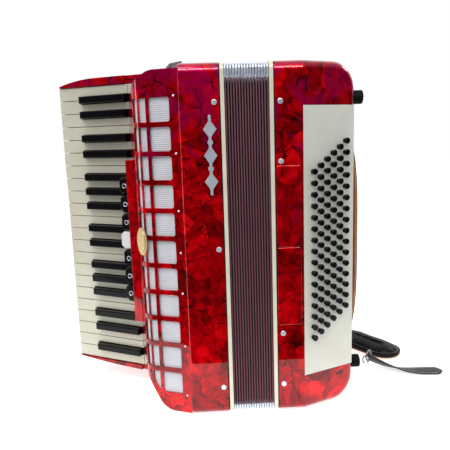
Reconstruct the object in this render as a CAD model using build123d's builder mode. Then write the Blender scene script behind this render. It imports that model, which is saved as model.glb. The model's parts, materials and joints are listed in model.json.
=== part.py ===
from build123d import *
import math
import os

# Piano accordion with 37 keys and 96 bass buttons, bellows closed, standing on its casings.
# X runs from the keyboard to the bass side, -Y is the front, +Z is up, in millimetres.
# The origin is the middle of the treble casing's standing face.

os.makedirs("parts", exist_ok=True)

# ---------------------------------------------------------------- driving dimensions
case_height = 470.0
case_depth = 195.0
wall = 5.0
edge_radius = 12.0
case_edge = 2.5
front = -case_depth / 2
back = case_depth / 2
middle = case_height / 2
inner_depth = case_depth - 2 * wall
inner_height = case_height - 2 * wall

treble_width = 51.0
treble_left = -treble_width / 2
treble_right = treble_width / 2

gasket = 1.5
strip = 5.0
strip_proud = 1.2
floor_gap = 0.8
tongue = 6.0
tongue_length = 12.0
tongue_slack = 0.3
fold_count = 16
fold_pitch = 56.5 / fold_count
bellows_wall = 20.0
bellows_inset = 1.3
corner_plate = 0.8

bellows_left = treble_right + gasket + strip
bellows_right = bellows_left + fold_count * fold_pitch
bass_left = bellows_right + strip + gasket
bass_slope_start = bass_left + 35.6
bass_right = 205.5
bass_shell_right = bass_right - 4.0
bass_corner_radius = 36.0
bass_edge_radius = 11.0
board_tilt = 24.0

white_keys = 22
key_pitch = 19.3
keys_top = 456.5
keys_bottom = keys_top - white_keys * key_pitch
key_tilt = 26.2
key_length = 122.0
key_foot = Vector(-101.7, 4.4)
key_gap = 0.9
black_start = 0.8
black_end = 83.0
black_height = 9.5
black_width = 10.0
axle_along = -9.0
axle_depth = -8.0
axle_radius = 1.5
running_gap = 0.05

cover_tilt = 20.6
cover_bottom = 1.0
cover_top = 464.5
cover_skin = 2.5
cover_corner_radius = 22.0
cover_end_radius = 25.0
cover_side_radius = 60.0
cover_cut = 39.0
cover_cut_low = 75.0
cover_cut_high = 21.0
cover_corner = Vector(-85.4, -69.8)
window_count = 11
window_pitch = 37.2
window_height = 30.6
window_width = 29.0
window_radius = 3.5
window_along = -27.5
window_top = 430.0
window_centre = (window_count - 1) * window_pitch / 2
window_middle = window_top - window_height / 2 - window_centre

button_rows = 6
buttons_in_row = 16
button_pitch = 15.07
row_pitch = 10.35
row_rise = 7.56
first_row = 14.8
first_button = 330.0

# ---------------------------------------------------------------- directions and planes
key_out = Vector(-math.cos(math.radians(key_tilt)), math.sin(math.radians(key_tilt)))
key_up = Vector(-math.sin(math.radians(key_tilt)), -math.cos(math.radians(key_tilt)))
cover_along = Vector(math.cos(math.radians(cover_tilt)), -math.sin(math.radians(cover_tilt)))
cover_front = Vector(treble_left, front + wall)
board_along = Vector(math.cos(math.radians(board_tilt)), math.sin(math.radians(board_tilt)))
board_out = Vector(math.sin(math.radians(board_tilt)), -math.cos(math.radians(board_tilt)))


def key_point(along, height):
    """A point in plan, given from the inner end of the key tops: outwards along them, and up from them."""
    point = key_foot + key_out * along + key_up * height
    return (point.X, point.Y)


def casing_point(height):
    """Where the level at a height from the key tops meets the treble casing's left side, in plan."""
    along = (treble_left - key_foot.X - key_up.X * height) / key_out.X
    return key_point(along, height)


def key_plane(z):
    """A level plane whose x runs outwards along the key tops and whose y rises out of them."""
    return Plane(origin=(key_foot.X, key_foot.Y, z), x_dir=(key_out.X, key_out.Y, 0), z_dir=(0, 0, 1))


cover_plane = Plane(
    origin=(cover_front.X, cover_front.Y, 0),
    x_dir=(cover_along.X, cover_along.Y, 0),
    z_dir=(-math.sin(math.radians(cover_tilt)), -math.cos(math.radians(cover_tilt)), 0),
)


def board_plane(height):
    """The button board's plane, moved outwards by height: x runs along the slope and y is up."""
    return Plane(
        origin=(bass_slope_start + board_out.X * height, front + board_out.Y * height, 0),
        x_dir=(board_along.X, board_along.Y, 0),
        z_dir=(board_out.X, board_out.Y, 0),
    )


# ---------------------------------------------------------------- treble casing
pin_heights_treble = (421.0, 233.0, 40.0)
pin_heights_bass = (420.0, 345.0, 114.0, 41.0)
treble_pin_x = treble_right - 6.5
bass_pin_x = bass_left + 6.8
pin_hole = 1.7

with BuildPart() as treble_case:
    with BuildSketch(Plane.YZ.offset(treble_left)):
        with Locations((0, middle)):
            RectangleRounded(case_depth, case_height, edge_radius)
            RectangleRounded(inner_depth, inner_height, edge_radius - wall, mode=Mode.SUBTRACT)
    extrude(amount=treble_width)
    with BuildSketch(Plane.XZ):
        with Locations([(treble_pin_x, z) for z in pin_heights_treble]):
            Circle(pin_hole)
    extrude(amount=case_depth, both=True, mode=Mode.SUBTRACT)
    fillet(treble_case.faces().sort_by(Axis.X)[0].outer_wire().edges(), case_edge)
treble_case.part.label = "treble_case"
export_step(treble_case.part, "parts/treble_case.step")

board_thickness = 8.0
board_inset = 1.5
board_clearance = 0.3
soundboard_face = treble_left + board_inset + board_thickness


# ---------------------------------------------------------------- keys: where each one stands
notes = ["G", "A", "B", "C", "D", "E", "F"]
sharp_shift = {"C": 1.8, "D": -1.8, "F": 2.4, "G": 0.0, "A": -2.4}


def white_name(index):
    return notes[index % len(notes)]


def sharp_height(boundary):
    """Height of the black key at a boundary between white keys, or None where there is no black key."""
    name = white_name(boundary - 1)
    if boundary < 1 or boundary >= white_keys or name not in sharp_shift:
        return None
    return keys_top - key_pitch * boundary + sharp_shift[name]


def rear_span(index):
    """Lowest and highest z of a white key's rear part, between the black keys beside it."""
    high = keys_top - key_pitch * index - key_gap / 2
    low = high - key_pitch + key_gap
    above = sharp_height(index)
    below = sharp_height(index + 1)
    if above is not None:
        high = above - black_width / 2 - key_gap
    if below is not None:
        low = below + black_width / 2 + key_gap
    return low, high


def white_centre(index):
    low, high = rear_span(index)
    return (low + high) / 2


pallet_left = treble_left - 10.0
pallet_right = treble_left - 0.8
white_pallet_middle = -60.0
black_pallet_middle = -28.0
pallet_length = 25.0
slot_length = 19.0
slot_height = 5.0

pallet_spots = [(white_pallet_middle, white_centre(i)) for i in range(white_keys)]
pallet_spots += [(black_pallet_middle, sharp_height(b)) for b in range(1, white_keys) if sharp_height(b)]

with BuildPart() as treble_soundboard:
    with BuildSketch(Plane.YZ.offset(treble_left + board_inset)):
        with Locations((0, middle)):
            RectangleRounded(
                inner_depth - 2 * board_clearance, inner_height - 2 * board_clearance, edge_radius - wall
            )
        with Locations(pallet_spots):
            Rectangle(slot_length, slot_height, mode=Mode.SUBTRACT)
    extrude(amount=board_thickness)
treble_soundboard.part.label = "treble_soundboard"
export_step(treble_soundboard.part, "parts/treble_soundboard.step")

# ---------------------------------------------------------------- reed blocks and plates
reed_root = 20.0
reed_tip = 14.0
reed_height = 36.0
reed_plate = 1.2
reed_plate_width = 22.0
treble_block_ys = (-66.0, -34.0, 34.0, 66.0)
treble_block_length = 400.0
treble_plates = 18
bass_block_ys = (-48.0, 0.0, 48.0)
bass_block_length = 330.0
bass_plates = 12
bass_board_face = bass_left + 25.0


def reed_block_points(root_x, direction, y):
    """Wedge section of a reed block standing on a soundboard, in plan."""
    tip_x = root_x + direction * reed_height
    return [
        (root_x, y - reed_root / 2),
        (root_x, y + reed_root / 2),
        (tip_x, y + reed_tip / 2),
        (tip_x, y - reed_tip / 2),
    ]


def reed_plate_points(root_x, direction, y, side):
    """Section of the plate on one face of a reed block, in plan."""
    lean = (reed_root - reed_tip) / 2 / reed_height
    near = 6.0
    far = near + reed_plate_width
    y_near = y + side * (reed_root / 2 - lean * near)
    y_far = y + side * (reed_root / 2 - lean * far)
    return [
        (root_x + direction * near, y_near),
        (root_x + direction * far, y_far),
        (root_x + direction * far, y_far + side * reed_plate),
        (root_x + direction * near, y_near + side * reed_plate),
    ]


with BuildPart() as treble_reed_blocks:
    with BuildSketch(Plane.XY.offset(middle - treble_block_length / 2)):
        for y in treble_block_ys:
            with BuildLine():
                Polyline(*reed_block_points(soundboard_face, 1, y), close=True)
            make_face()
    extrude(amount=treble_block_length)
treble_reed_blocks.part.label = "treble_reed_blocks"
export_step(treble_reed_blocks.part, "parts/treble_reed_blocks.step")

with BuildPart() as treble_reed_plates:
    for index in range(treble_plates):
        pitch = treble_block_length / treble_plates
        with BuildSketch(Plane.XY.offset(middle - treble_block_length / 2 + index * pitch + 1.0)):
            for y in treble_block_ys:
                for side in (-1, 1):
                    with BuildLine():
                        Polyline(*reed_plate_points(soundboard_face, 1, y, side), close=True)
                    make_face()
        extrude(amount=pitch - 2.0)
treble_reed_plates.part.label = "treble_reed_plates"
export_step(treble_reed_plates.part, "parts/treble_reed_plates.step")

# ---------------------------------------------------------------- grille cover and its mesh
cover_foot = (-2.0, 2.0)
cover_end = Vector(*key_point(*cover_foot))
cover_rear = Vector(treble_left, key_point(-84.9, 2.0)[1])
corner_to_front = (cover_front - cover_corner).normalized()
corner_to_end = (cover_end - cover_corner).normalized()
half_corner = corner_to_front.get_angle(corner_to_end) / 2
arc_centre = cover_corner + (corner_to_front + corner_to_end).normalized() * (
    cover_corner_radius / math.sin(math.radians(half_corner))
)


def cover_points(reach):
    """The cover's section in plan, carried on past its two open sides by reach."""
    start = cover_front + corner_to_front * reach
    end = cover_end + corner_to_end * reach
    far = cover_rear + Vector(reach, reach)
    return [(start.X, start.Y), (cover_corner.X, cover_corner.Y), (end.X, end.Y), (far.X, far.Y)]


def corner_window_points(start, end):
    """Plan of the cut for a window on the cover's corner, between two angles round it."""
    spots = [(15.0, start), (32.0, start), (33.0, (start + end) / 2), (32.0, end), (15.0, end)]
    points = [arc_centre + Vector(radius, 0).rotate(Axis.Z, angle) for radius, angle in spots]
    return [(point.X, point.Y) for point in points]


cover_left = cover_end.X - 1.0
cover_outline_points = [
    (60, cover_bottom),
    (cover_left + cover_cut, cover_bottom),
    (cover_left, cover_bottom + cover_cut_low),
    (cover_left, cover_top - cover_cut_high),
    (cover_left + cover_cut, cover_top),
    (60, cover_top),
]
window_border = 7.0
corner_windows = ((-96.0, -123.5), (-128.5, -156.0))

with BuildPart() as cover_hollow:
    with BuildSketch() as hollow_section:
        with BuildLine():
            Polyline(*cover_points(30.0), close=True)
        make_face()
        fillet(hollow_section.vertices().sort_by_distance(cover_corner)[0], cover_corner_radius)
        offset(amount=-cover_skin, mode=Mode.REPLACE)
    extrude(amount=case_height)
    with BuildSketch(Plane.XZ) as hollow_outline:
        with BuildLine():
            Polyline(*cover_outline_points, close=True)
        make_face()
        fillet(hollow_outline.vertices().group_by(Axis.X)[-2], cover_end_radius)
        fillet(hollow_outline.vertices().group_by(Axis.X)[0], cover_side_radius)
        offset(amount=-cover_skin, mode=Mode.REPLACE)
    extrude(amount=case_depth, both=True, mode=Mode.INTERSECT)

with BuildPart() as corner_cuts:
    for index in range(window_count):
        low = window_top - window_height - window_pitch * index
        with BuildSketch(Plane.XY.offset(low)):
            for start, end in corner_windows:
                with BuildLine():
                    Polyline(*corner_window_points(start, end), close=True)
                make_face()
        extrude(amount=window_height)
    with BuildSketch(Plane.XZ):
        with BuildLine():
            Polyline(*cover_outline_points, close=True)
        make_face()
        offset(amount=-window_border, kind=Kind.INTERSECTION, mode=Mode.REPLACE)
    extrude(amount=case_depth, both=True, mode=Mode.INTERSECT)

with BuildPart() as grille_cover:
    with BuildSketch() as cover_section:
        with BuildLine():
            Polyline(*cover_points(0.0), close=True)
        make_face()
        fillet(cover_section.vertices().sort_by_distance(cover_corner)[0], cover_corner_radius)
    extrude(amount=case_height)
    with BuildSketch(Plane.XZ) as cover_outline:
        with BuildLine():
            Polyline(*cover_outline_points, close=True)
        make_face()
        fillet(cover_outline.vertices().group_by(Axis.X)[-2], cover_end_radius)
        fillet(cover_outline.vertices().group_by(Axis.X)[0], cover_side_radius)
    extrude(amount=case_depth, both=True, mode=Mode.INTERSECT)
    add(cover_hollow.part, mode=Mode.SUBTRACT)
    with BuildSketch(cover_plane):
        with Locations((window_along, window_middle)):
            with GridLocations(1, window_pitch, 1, window_count):
                RectangleRounded(window_width, window_height, window_radius)
    extrude(amount=6.0, both=True, mode=Mode.SUBTRACT)
    add(corner_cuts.part, mode=Mode.SUBTRACT)
grille_cover.part.label = "grille_cover"
export_step(grille_cover.part, "parts/grille_cover.step")

mesh_gap = 0.2
mesh_thickness = 0.8

with BuildSketch() as mesh_inside:
    with BuildLine():
        Polyline(*cover_points(30.0), close=True)
    make_face()
    fillet(mesh_inside.vertices().sort_by_distance(cover_corner)[0], cover_corner_radius)
    offset(amount=-(cover_skin + mesh_gap + mesh_thickness), mode=Mode.REPLACE)

with BuildPart() as grille_mesh:
    with BuildSketch(Plane.XY.offset(window_top - window_height - 2 * window_centre - 4.0)) as mesh_section:
        with BuildLine():
            Polyline(*cover_points(30.0), close=True)
        make_face()
        fillet(mesh_section.vertices().sort_by_distance(cover_corner)[0], cover_corner_radius)
        offset(amount=-(cover_skin + mesh_gap), mode=Mode.REPLACE)
        add(mesh_inside.sketch, mode=Mode.SUBTRACT)
        with Locations((-62.0, -70.0)):
            Rectangle(58.0, 52.0, mode=Mode.INTERSECT)
    extrude(amount=window_height + 2 * window_centre + 8.0)
    with BuildSketch(Plane.XZ) as mesh_outline:
        with BuildLine():
            Polyline(*cover_outline_points, close=True)
        make_face()
        fillet(mesh_outline.vertices().group_by(Axis.X)[-2], cover_end_radius)
        fillet(mesh_outline.vertices().group_by(Axis.X)[0], cover_side_radius)
        offset(amount=-(cover_skin + mesh_gap), mode=Mode.REPLACE)
    extrude(amount=case_depth, both=True, mode=Mode.INTERSECT)
grille_mesh.part.label = "grille_mesh"
export_step(grille_mesh.part, "parts/grille_mesh.step")

# ---------------------------------------------------------------- keyboard frame and axle
frame_low = 24.0
frame_high = 468.0
cheek_gap = 0.5
frame_outer = -211.0
frame_end_low = 31.0
frame_end_high = 459.0
frame_bend_low = -100.0
frame_bend_high = -150.0
frame_reach = 121.5
bed_top = -26.0
bed_bottom = -32.0
bed_reach = 118.0
plate_thickness = 5.0
outer_back = (-209.0, 90.0)
cheek_points = [
    (treble_left, back),
    outer_back,
    key_point(frame_reach, 2.0),
    key_point(2.5, 2.0),
    key_point(2.5, -1.5),
    casing_point(-1.5),
]
bed_points = [
    casing_point(bed_top),
    key_point(bed_reach, bed_top),
    key_point(bed_reach, bed_bottom),
    casing_point(bed_bottom),
]
frame_arc_low = [(frame_bend_low, frame_low), (-155, frame_low + 2.0), (frame_outer, frame_end_low)]
frame_arc_high = [(frame_outer, frame_end_high), (-185, frame_high - 2.9), (frame_bend_high, frame_high)]
back_plate_points = [
    (treble_left, back),
    outer_back,
    (outer_back[0], outer_back[1] - plate_thickness),
    (treble_left, back - plate_thickness),
]

with BuildPart() as keyboard_frame:
    with BuildSketch(Plane.XY.offset(frame_low)):
        with BuildLine():
            Polyline(*cheek_points, close=True)
        make_face()
    extrude(amount=keys_bottom - cheek_gap - frame_low)
    with BuildSketch(Plane.XY.offset(keys_top + cheek_gap)):
        with BuildLine():
            Polyline(*cheek_points, close=True)
        make_face()
    extrude(amount=frame_high - keys_top - cheek_gap)
    with BuildSketch(Plane.XY.offset(frame_low)):
        with BuildLine():
            Polyline(*bed_points, close=True)
        make_face()
        with BuildLine():
            Polyline(*back_plate_points, close=True)
        make_face()
    extrude(amount=frame_high - frame_low)
    with BuildSketch(Plane.XZ):
        with BuildLine():
            Line((0, frame_low), (frame_bend_low, frame_low))
            ThreePointArc(*frame_arc_low)
            Line((frame_outer, frame_end_low), (frame_outer, frame_end_high))
            ThreePointArc(*frame_arc_high)
            Line((frame_bend_high, frame_high), (0, frame_high))
            Line((0, frame_high), (0, frame_low))
        make_face()
    extrude(amount=case_depth, both=True, mode=Mode.INTERSECT)
    outer_corner = key_point(frame_reach, 2.0)
    fillet(keyboard_frame.edges().filter_by(Axis.Z).sort_by_distance((*outer_corner, frame_high))[0], 5.0)
    with BuildSketch(key_plane(frame_low + 3.0)):
        with Locations((axle_along, axle_depth)):
            Circle(axle_radius + running_gap)
    extrude(amount=frame_high - frame_low - 6.0, mode=Mode.SUBTRACT)
keyboard_frame.part.label = "keyboard_frame"
export_step(keyboard_frame.part, "parts/keyboard_frame.step")

with BuildPart() as key_axle:
    with BuildSketch(key_plane(frame_low + 3.2)):
        with Locations((axle_along, axle_depth)):
            Circle(axle_radius)
    extrude(amount=frame_high - frame_low - 6.4)
key_axle.part.label = "key_axle"
export_step(key_axle.part, "parts/key_axle.step")

# ---------------------------------------------------------------- keys
key_rear = -18.0
white_body = -14.0
arm_thickness = 3.0
arm_width = 3.0
white_pallet_width = 10.0
black_pallet_width = 8.6

white_side = [
    (key_rear, white_body),
    (key_rear, -1.5),
    (-0.5, -1.5),
    (-0.5, 0.0),
    (key_length, 0.0),
    (key_length, -16.0),
    (key_length - 2.5, -16.0),
    (key_length - 5.0, white_body),
]
black_side = [
    (key_rear, white_body),
    (key_rear, -1.5),
    (black_start, -1.5),
    (black_start, black_height),
    (black_end - 3.5, black_height),
    (black_end, 0.5),
    (black_end, white_body),
]


def arm_points(pallet_middle):
    """Plan of the bent lever between a key's rear end and its pallet."""
    start = Vector(*key_point(-15.0, -6.0))
    end = Vector(pallet_left + 2.0, pallet_middle)
    across = (end - start).normalized().rotate(Axis.Z, 90) * (arm_thickness / 2)
    corners = [start + across, end + across, end - across, start - across]
    return [(corner.X, corner.Y) for corner in corners]


def pallet_points(pallet_middle):
    low = pallet_middle - pallet_length / 2
    high = pallet_middle + pallet_length / 2
    return [(pallet_left, low), (pallet_right, low), (pallet_right, high), (pallet_left, high)]


for note in notes:
    with BuildPart() as key:
        for index in range(white_keys):
            if white_name(index) != note:
                continue
            high = keys_top - key_pitch * index - key_gap / 2
            low = high - key_pitch + key_gap
            rear_low, rear_high = rear_span(index)
            centre = white_centre(index)
            with BuildSketch(key_plane(low)):
                with BuildLine():
                    Polyline(*white_side, close=True)
                make_face()
            extrude(amount=high - low)
            if rear_high < high:
                with BuildSketch(key_plane(rear_high)):
                    with Locations(((key_rear + black_end) / 2, -8.0)):
                        Rectangle(black_end - key_rear + 2.0, 30.0)
                extrude(amount=high - rear_high + 0.1, mode=Mode.SUBTRACT)
            if rear_low > low:
                with BuildSketch(key_plane(low - 0.1)):
                    with Locations(((key_rear + black_end) / 2, -8.0)):
                        Rectangle(black_end - key_rear + 2.0, 30.0)
                extrude(amount=rear_low - low + 0.1, mode=Mode.SUBTRACT)
            with BuildSketch(Plane.XY.offset(centre - arm_width / 2)):
                with BuildLine():
                    Polyline(*arm_points(white_pallet_middle), close=True)
                make_face()
            extrude(amount=arm_width)
            with BuildSketch(Plane.XY.offset(centre - white_pallet_width / 2)):
                with BuildLine():
                    Polyline(*pallet_points(white_pallet_middle), close=True)
                make_face()
            extrude(amount=white_pallet_width)
        top_faces = key.faces().filter_by(Axis((0, 0, 0), (key_up.X, key_up.Y, 0)))
        top_faces = top_faces.group_by(Axis((0, 0, 0), (key_up.X, key_up.Y, 0)))[-1]
        chamfer(top_faces.edges(), 0.4)
        with BuildSketch(key_plane(0)):
            with Locations((axle_along, axle_depth)):
                Circle(axle_radius + running_gap)
        extrude(amount=case_height, mode=Mode.SUBTRACT)
    key.part.label = f"key_{note.lower()}"
    export_step(key.part, f"parts/key_{note.lower()}.step")

for note in sharp_shift:
    with BuildPart() as sharp:
        for boundary in range(1, white_keys):
            if white_name(boundary - 1) != note or sharp_height(boundary) is None:
                continue
            centre = sharp_height(boundary)
            with BuildSketch(key_plane(centre - black_width / 2)):
                with BuildLine():
                    Polyline(*black_side, close=True)
                make_face()
            extrude(amount=black_width)
            with BuildSketch(Plane.XY.offset(centre - arm_width / 2)):
                with BuildLine():
                    Polyline(*arm_points(black_pallet_middle), close=True)
                make_face()
            extrude(amount=arm_width)
            with BuildSketch(Plane.XY.offset(centre - black_pallet_width / 2)):
                with BuildLine():
                    Polyline(*pallet_points(black_pallet_middle), close=True)
                make_face()
            extrude(amount=black_pallet_width)
        top_faces = sharp.faces().filter_by(Axis((0, 0, 0), (key_up.X, key_up.Y, 0)))
        top_faces = top_faces.group_by(Axis((0, 0, 0), (key_up.X, key_up.Y, 0)))[-1]
        fillet(top_faces.edges(), 1.2)
        with BuildSketch(key_plane(0)):
            with Locations((axle_along, axle_depth)):
                Circle(axle_radius + running_gap)
        extrude(amount=case_height, mode=Mode.SUBTRACT)
    sharp.part.label = f"key_{note.lower()}_sharp"
    export_step(sharp.part, f"parts/key_{note.lower()}_sharp.step")

# ---------------------------------------------------------------- treble registers
tab_count = 7
tab_pitch = 26.67
tab_middle = 233.0
tab_height = 25.4
tab_bottom = 13.5
tab_top = 19.5
tab_inner = -7.5
tab_outer = 11.6
middle_tab_reach = 2.6
tab_corner = 5.0
tab_bevel = 2.4
housing_low = 114.0
housing_high = 350.0
housing_bottom = 12.5
housing_top = 27.0
housing_gap = 0.1
corner_along = (cover_corner - key_foot).dot(key_out)
corner_up = (cover_corner - key_foot).dot(key_up)


def wall_along(height):
    """How far along the key tops the cover's side wall stands at a height above them."""
    part = (height - cover_foot[1]) / (corner_up - cover_foot[1])
    return cover_foot[0] + (corner_along - cover_foot[0]) * part


housing_points = [
    (wall_along(housing_bottom) + housing_gap, housing_bottom),
    (-8.3, housing_bottom),
    (-8.3, 20.5),
    (-4.5, 20.5),
    (-4.5, 23.0),
    (-8.0, housing_top),
    (wall_along(housing_top) + housing_gap, housing_top),
]

with BuildPart() as register_housing:
    with BuildSketch(key_plane(housing_low)):
        with BuildLine():
            Polyline(*housing_points, close=True)
        make_face()
    extrude(amount=housing_high - housing_low)
register_housing.part.label = "register_housing"
export_step(register_housing.part, "parts/register_housing.step")

for index in range(tab_count):
    tab_low = tab_middle + tab_pitch * ((tab_count - 1) / 2 - index) - tab_height / 2
    outer = tab_outer + middle_tab_reach if index == tab_count // 2 else tab_outer
    with BuildPart() as tab:
        with BuildSketch(key_plane(tab_low)):
            with Locations(((tab_inner + outer) / 2, (tab_bottom + tab_top) / 2)):
                Rectangle(outer - tab_inner, tab_top - tab_bottom)
        extrude(amount=tab_height)
        outer_face = tab.faces().sort_by(Axis((0, 0, 0), (key_out.X, key_out.Y, 0)))[-1]
        corner_edges = outer_face.edges().filter_by(Axis((0, 0, 0), (key_up.X, key_up.Y, 0)))
        chamfer(corner_edges, tab_corner)
        tab_face = tab.faces().sort_by(Axis((0, 0, 0), (key_up.X, key_up.Y, 0)))[-1]
        chamfer(tab_face.edges(), tab_bevel)
    tab.part.label = f"register_tab_{index + 1}"
    export_step(tab.part, f"parts/register_tab_{index + 1}.step")

# ---------------------------------------------------------------- ornaments
medallion_direction = (corner_to_front + corner_to_end).normalized() * -1
medallion_centre = arc_centre + medallion_direction * (cover_corner_radius + 0.1)
medallion_height = 242.0
medallion_plane = Plane(
    origin=(medallion_centre.X, medallion_centre.Y, medallion_height),
    x_dir=(-medallion_direction.Y, medallion_direction.X, 0),
    z_dir=(medallion_direction.X, medallion_direction.Y, 0),
)

with BuildPart() as side_medallion:
    with BuildSketch(medallion_plane):
        Ellipse(11.0, 19.0)
    extrude(amount=1.6)
    with BuildSketch(medallion_plane.offset(1.6)):
        Ellipse(8.0, 15.0)
    extrude(amount=0.9)
side_medallion.part.label = "side_medallion"
export_step(side_medallion.part, "parts/side_medallion.step")

ornament_x = 12.5
ornament_z = 355.0

with BuildPart() as front_ornament:
    with BuildSketch(Plane.XZ.offset(-front)):
        with Locations((ornament_x, ornament_z)):
            RectangleRounded(3.6, 101.0, 1.7)
            with Locations((0, 33), (0, 0), (0, -33)):
                Polygon((0, 12), (8.5, 0), (0, -12), (-8.5, 0))
            with Locations((0, 16.5), (0, -16.5)):
                Circle(3.5)
    extrude(amount=1.6)
front_ornament.part.label = "front_ornament"
export_step(front_ornament.part, "parts/front_ornament.step")

# ---------------------------------------------------------------- shoulder-strap brackets on the treble side
bracket_width = 12.0
lug_hole_radius = 3.5
upper_lug_points = [
    (-50, frame_high),
    (-37, frame_high),
    (-34, frame_high + 13),
    (-24, frame_high + 20),
    (-25, frame_high + 26),
    (-43, frame_high + 23),
    (-49, frame_high + 17),
]
lower_lug_points = [
    (back + 2, 38),
    (back + 2, 58),
    (back + 9, 58),
    (back + 14, 52),
    (back + 14, 42),
    (back + 9, 38),
]

with BuildPart() as strap_brackets:
    with BuildSketch(Plane.XZ.offset(-66.0)):
        with BuildLine():
            Polyline(*upper_lug_points, close=True)
        make_face()
        with Locations((-42.5, frame_high + 14)):
            Circle(lug_hole_radius, mode=Mode.SUBTRACT)
    extrude(amount=-bracket_width)
    with BuildSketch(Plane.XZ.offset(-back)):
        with Locations((-10, 44)):
            RectangleRounded(16, 40, 3)
    extrude(amount=-2.0)
    with BuildSketch(Plane.YZ.offset(-12.0)):
        with BuildLine():
            Polyline(*lower_lug_points, close=True)
        make_face()
        with Locations((back + 8, 48)):
            Circle(lug_hole_radius, mode=Mode.SUBTRACT)
    extrude(amount=4.0)
strap_brackets.part.label = "strap_brackets"
export_step(strap_brackets.part, "parts/strap_brackets.step")

# ---------------------------------------------------------------- bellows, their frames, gaskets and pins
tongue_depth = inner_depth - 2 * tongue_slack
tongue_height = inner_height - 2 * tongue_slack
seal_depth = inner_depth + 0.2
seal_height = inner_height + 0.2
opening_depth = tongue_depth - 2 * tongue
opening_height = tongue_height - 2 * tongue
pin_head_radius = 3.6
pin_head_height = 1.4
pin_shank_radius = 1.4
pin_length = 9.0
strip_height = case_height + strip_proud - floor_gap
strip_middle = (case_height + strip_proud + floor_gap) / 2

sides = [
    ("treble", bellows_left - strip, treble_right, -1, treble_pin_x, pin_heights_treble),
    ("bass", bellows_right, bass_left - gasket, 1, bass_pin_x, pin_heights_bass),
]

for side_name, strip_left, gasket_edge, direction, pin_x, pin_heights in sides:
    tongue_start = strip_left if direction < 0 else strip_left + strip
    with BuildPart() as bellows_frame:
        with BuildSketch(Plane.YZ.offset(strip_left)):
            with Locations((0, strip_middle)):
                RectangleRounded(case_depth + 2 * strip_proud, strip_height, edge_radius)
            with Locations((0, middle)):
                RectangleRounded(opening_depth, opening_height, 2.0, mode=Mode.SUBTRACT)
        extrude(amount=strip)
        with BuildSketch(Plane.YZ.offset(tongue_start)):
            with Locations((0, middle)):
                RectangleRounded(tongue_depth, tongue_height, edge_radius - wall)
                RectangleRounded(opening_depth, opening_height, 2.0, mode=Mode.SUBTRACT)
        extrude(amount=direction * (gasket + tongue_length))
        with BuildSketch(Plane.XZ):
            with Locations([(pin_x, z) for z in pin_heights]):
                Circle(pin_hole)
        extrude(amount=case_depth, both=True, mode=Mode.SUBTRACT)
    bellows_frame.part.label = f"{side_name}_bellows_frame"
    export_step(bellows_frame.part, f"parts/{side_name}_bellows_frame.step")

    with BuildPart() as seal:
        with BuildSketch(Plane.YZ.offset(gasket_edge)):
            with Locations((0, middle)):
                RectangleRounded(case_depth - 2.0, case_height - 2.0, edge_radius - 1.0)
                RectangleRounded(seal_depth, seal_height, edge_radius - wall, mode=Mode.SUBTRACT)
        extrude(amount=gasket)
    seal.part.label = f"{side_name}_gasket"
    export_step(seal.part, f"parts/{side_name}_gasket.step")

    with BuildPart() as pins:
        for face, outward in ((-front, 1), (front, -1)):
            with BuildSketch(Plane.XZ.offset(face)):
                with Locations([(pin_x, z) for z in pin_heights]):
                    Circle(pin_head_radius)
            extrude(amount=outward * pin_head_height)
            with BuildSketch(Plane.XZ.offset(face)):
                with Locations([(pin_x, z) for z in pin_heights]):
                    Circle(pin_shank_radius)
            extrude(amount=-outward * pin_length)
        heads = pins.edges().filter_by(GeomType.CIRCLE).group_by(Axis.Y)
        fillet(heads[0], 0.9)
        heads = pins.edges().filter_by(GeomType.CIRCLE).group_by(Axis.Y)
        fillet(heads[-1], 0.9)
    pins.part.label = f"{side_name}_bellows_pins"
    export_step(pins.part, f"parts/{side_name}_bellows_pins.step")

bellows_depth = case_depth - 2 * bellows_inset
bellows_height = case_height - 2 * bellows_inset
fold_radius = 8.0

with BuildPart() as bellows:
    with BuildSketch(Plane.YZ.offset(bellows_left)):
        with Locations((0, middle)):
            RectangleRounded(bellows_depth, bellows_height, fold_radius)
            RectangleRounded(
                bellows_depth - 2 * bellows_wall, bellows_height - 2 * bellows_wall, 2.0, mode=Mode.SUBTRACT
            )
    extrude(amount=fold_count * fold_pitch)
bellows.part.label = "bellows"
export_step(bellows.part, "parts/bellows.step")

corner_leg = 22.0
corner_gap = 0.1
corner_width = 2.6

with BuildPart() as bellows_corners:
    for fold in range(fold_count):
        with BuildSketch(Plane.YZ.offset(bellows_left + (fold + 0.5) * fold_pitch - corner_width / 2)):
            with Locations((0, middle)):
                RectangleRounded(
                    bellows_depth + 2 * (corner_gap + corner_plate),
                    bellows_height + 2 * (corner_gap + corner_plate),
                    fold_radius + corner_gap + corner_plate,
                )
                RectangleRounded(
                    bellows_depth + 2 * corner_gap,
                    bellows_height + 2 * corner_gap,
                    fold_radius + corner_gap,
                    mode=Mode.SUBTRACT,
                )
                Rectangle(bellows_depth - 2 * corner_leg, case_height + 10, mode=Mode.SUBTRACT)
                Rectangle(case_depth + 10, bellows_height - 2 * corner_leg, mode=Mode.SUBTRACT)
        extrude(amount=corner_width)
bellows_corners.part.label = "bellows_corners"
export_step(bellows_corners.part, "parts/bellows_corners.step")

# ---------------------------------------------------------------- bass casing
slope_rise = (bass_right - bass_slope_start) * math.tan(math.radians(board_tilt))
board_low = 51.0
board_high = 414.5
bar_low = 125.5
bar_high = 340.0
bar_split = (bar_low + bar_high) / 2
bar_left = bass_left + 0.4
bar_right = bass_left + 32.5
bar_clearance = 0.3
bar_gap = 1.2
pocket_depth = 3.3
bar_proud = 1.8
bar_thickness = 2.4
bar_stem_x = bass_left + 18.0
bar_stem_radius = 2.0
bar_stem_offset = 36.0
bar_middles = (bar_split + (bar_high - bar_split) / 2, bar_low + (bar_split - bar_low) / 2)
overrun = 30.0


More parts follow.
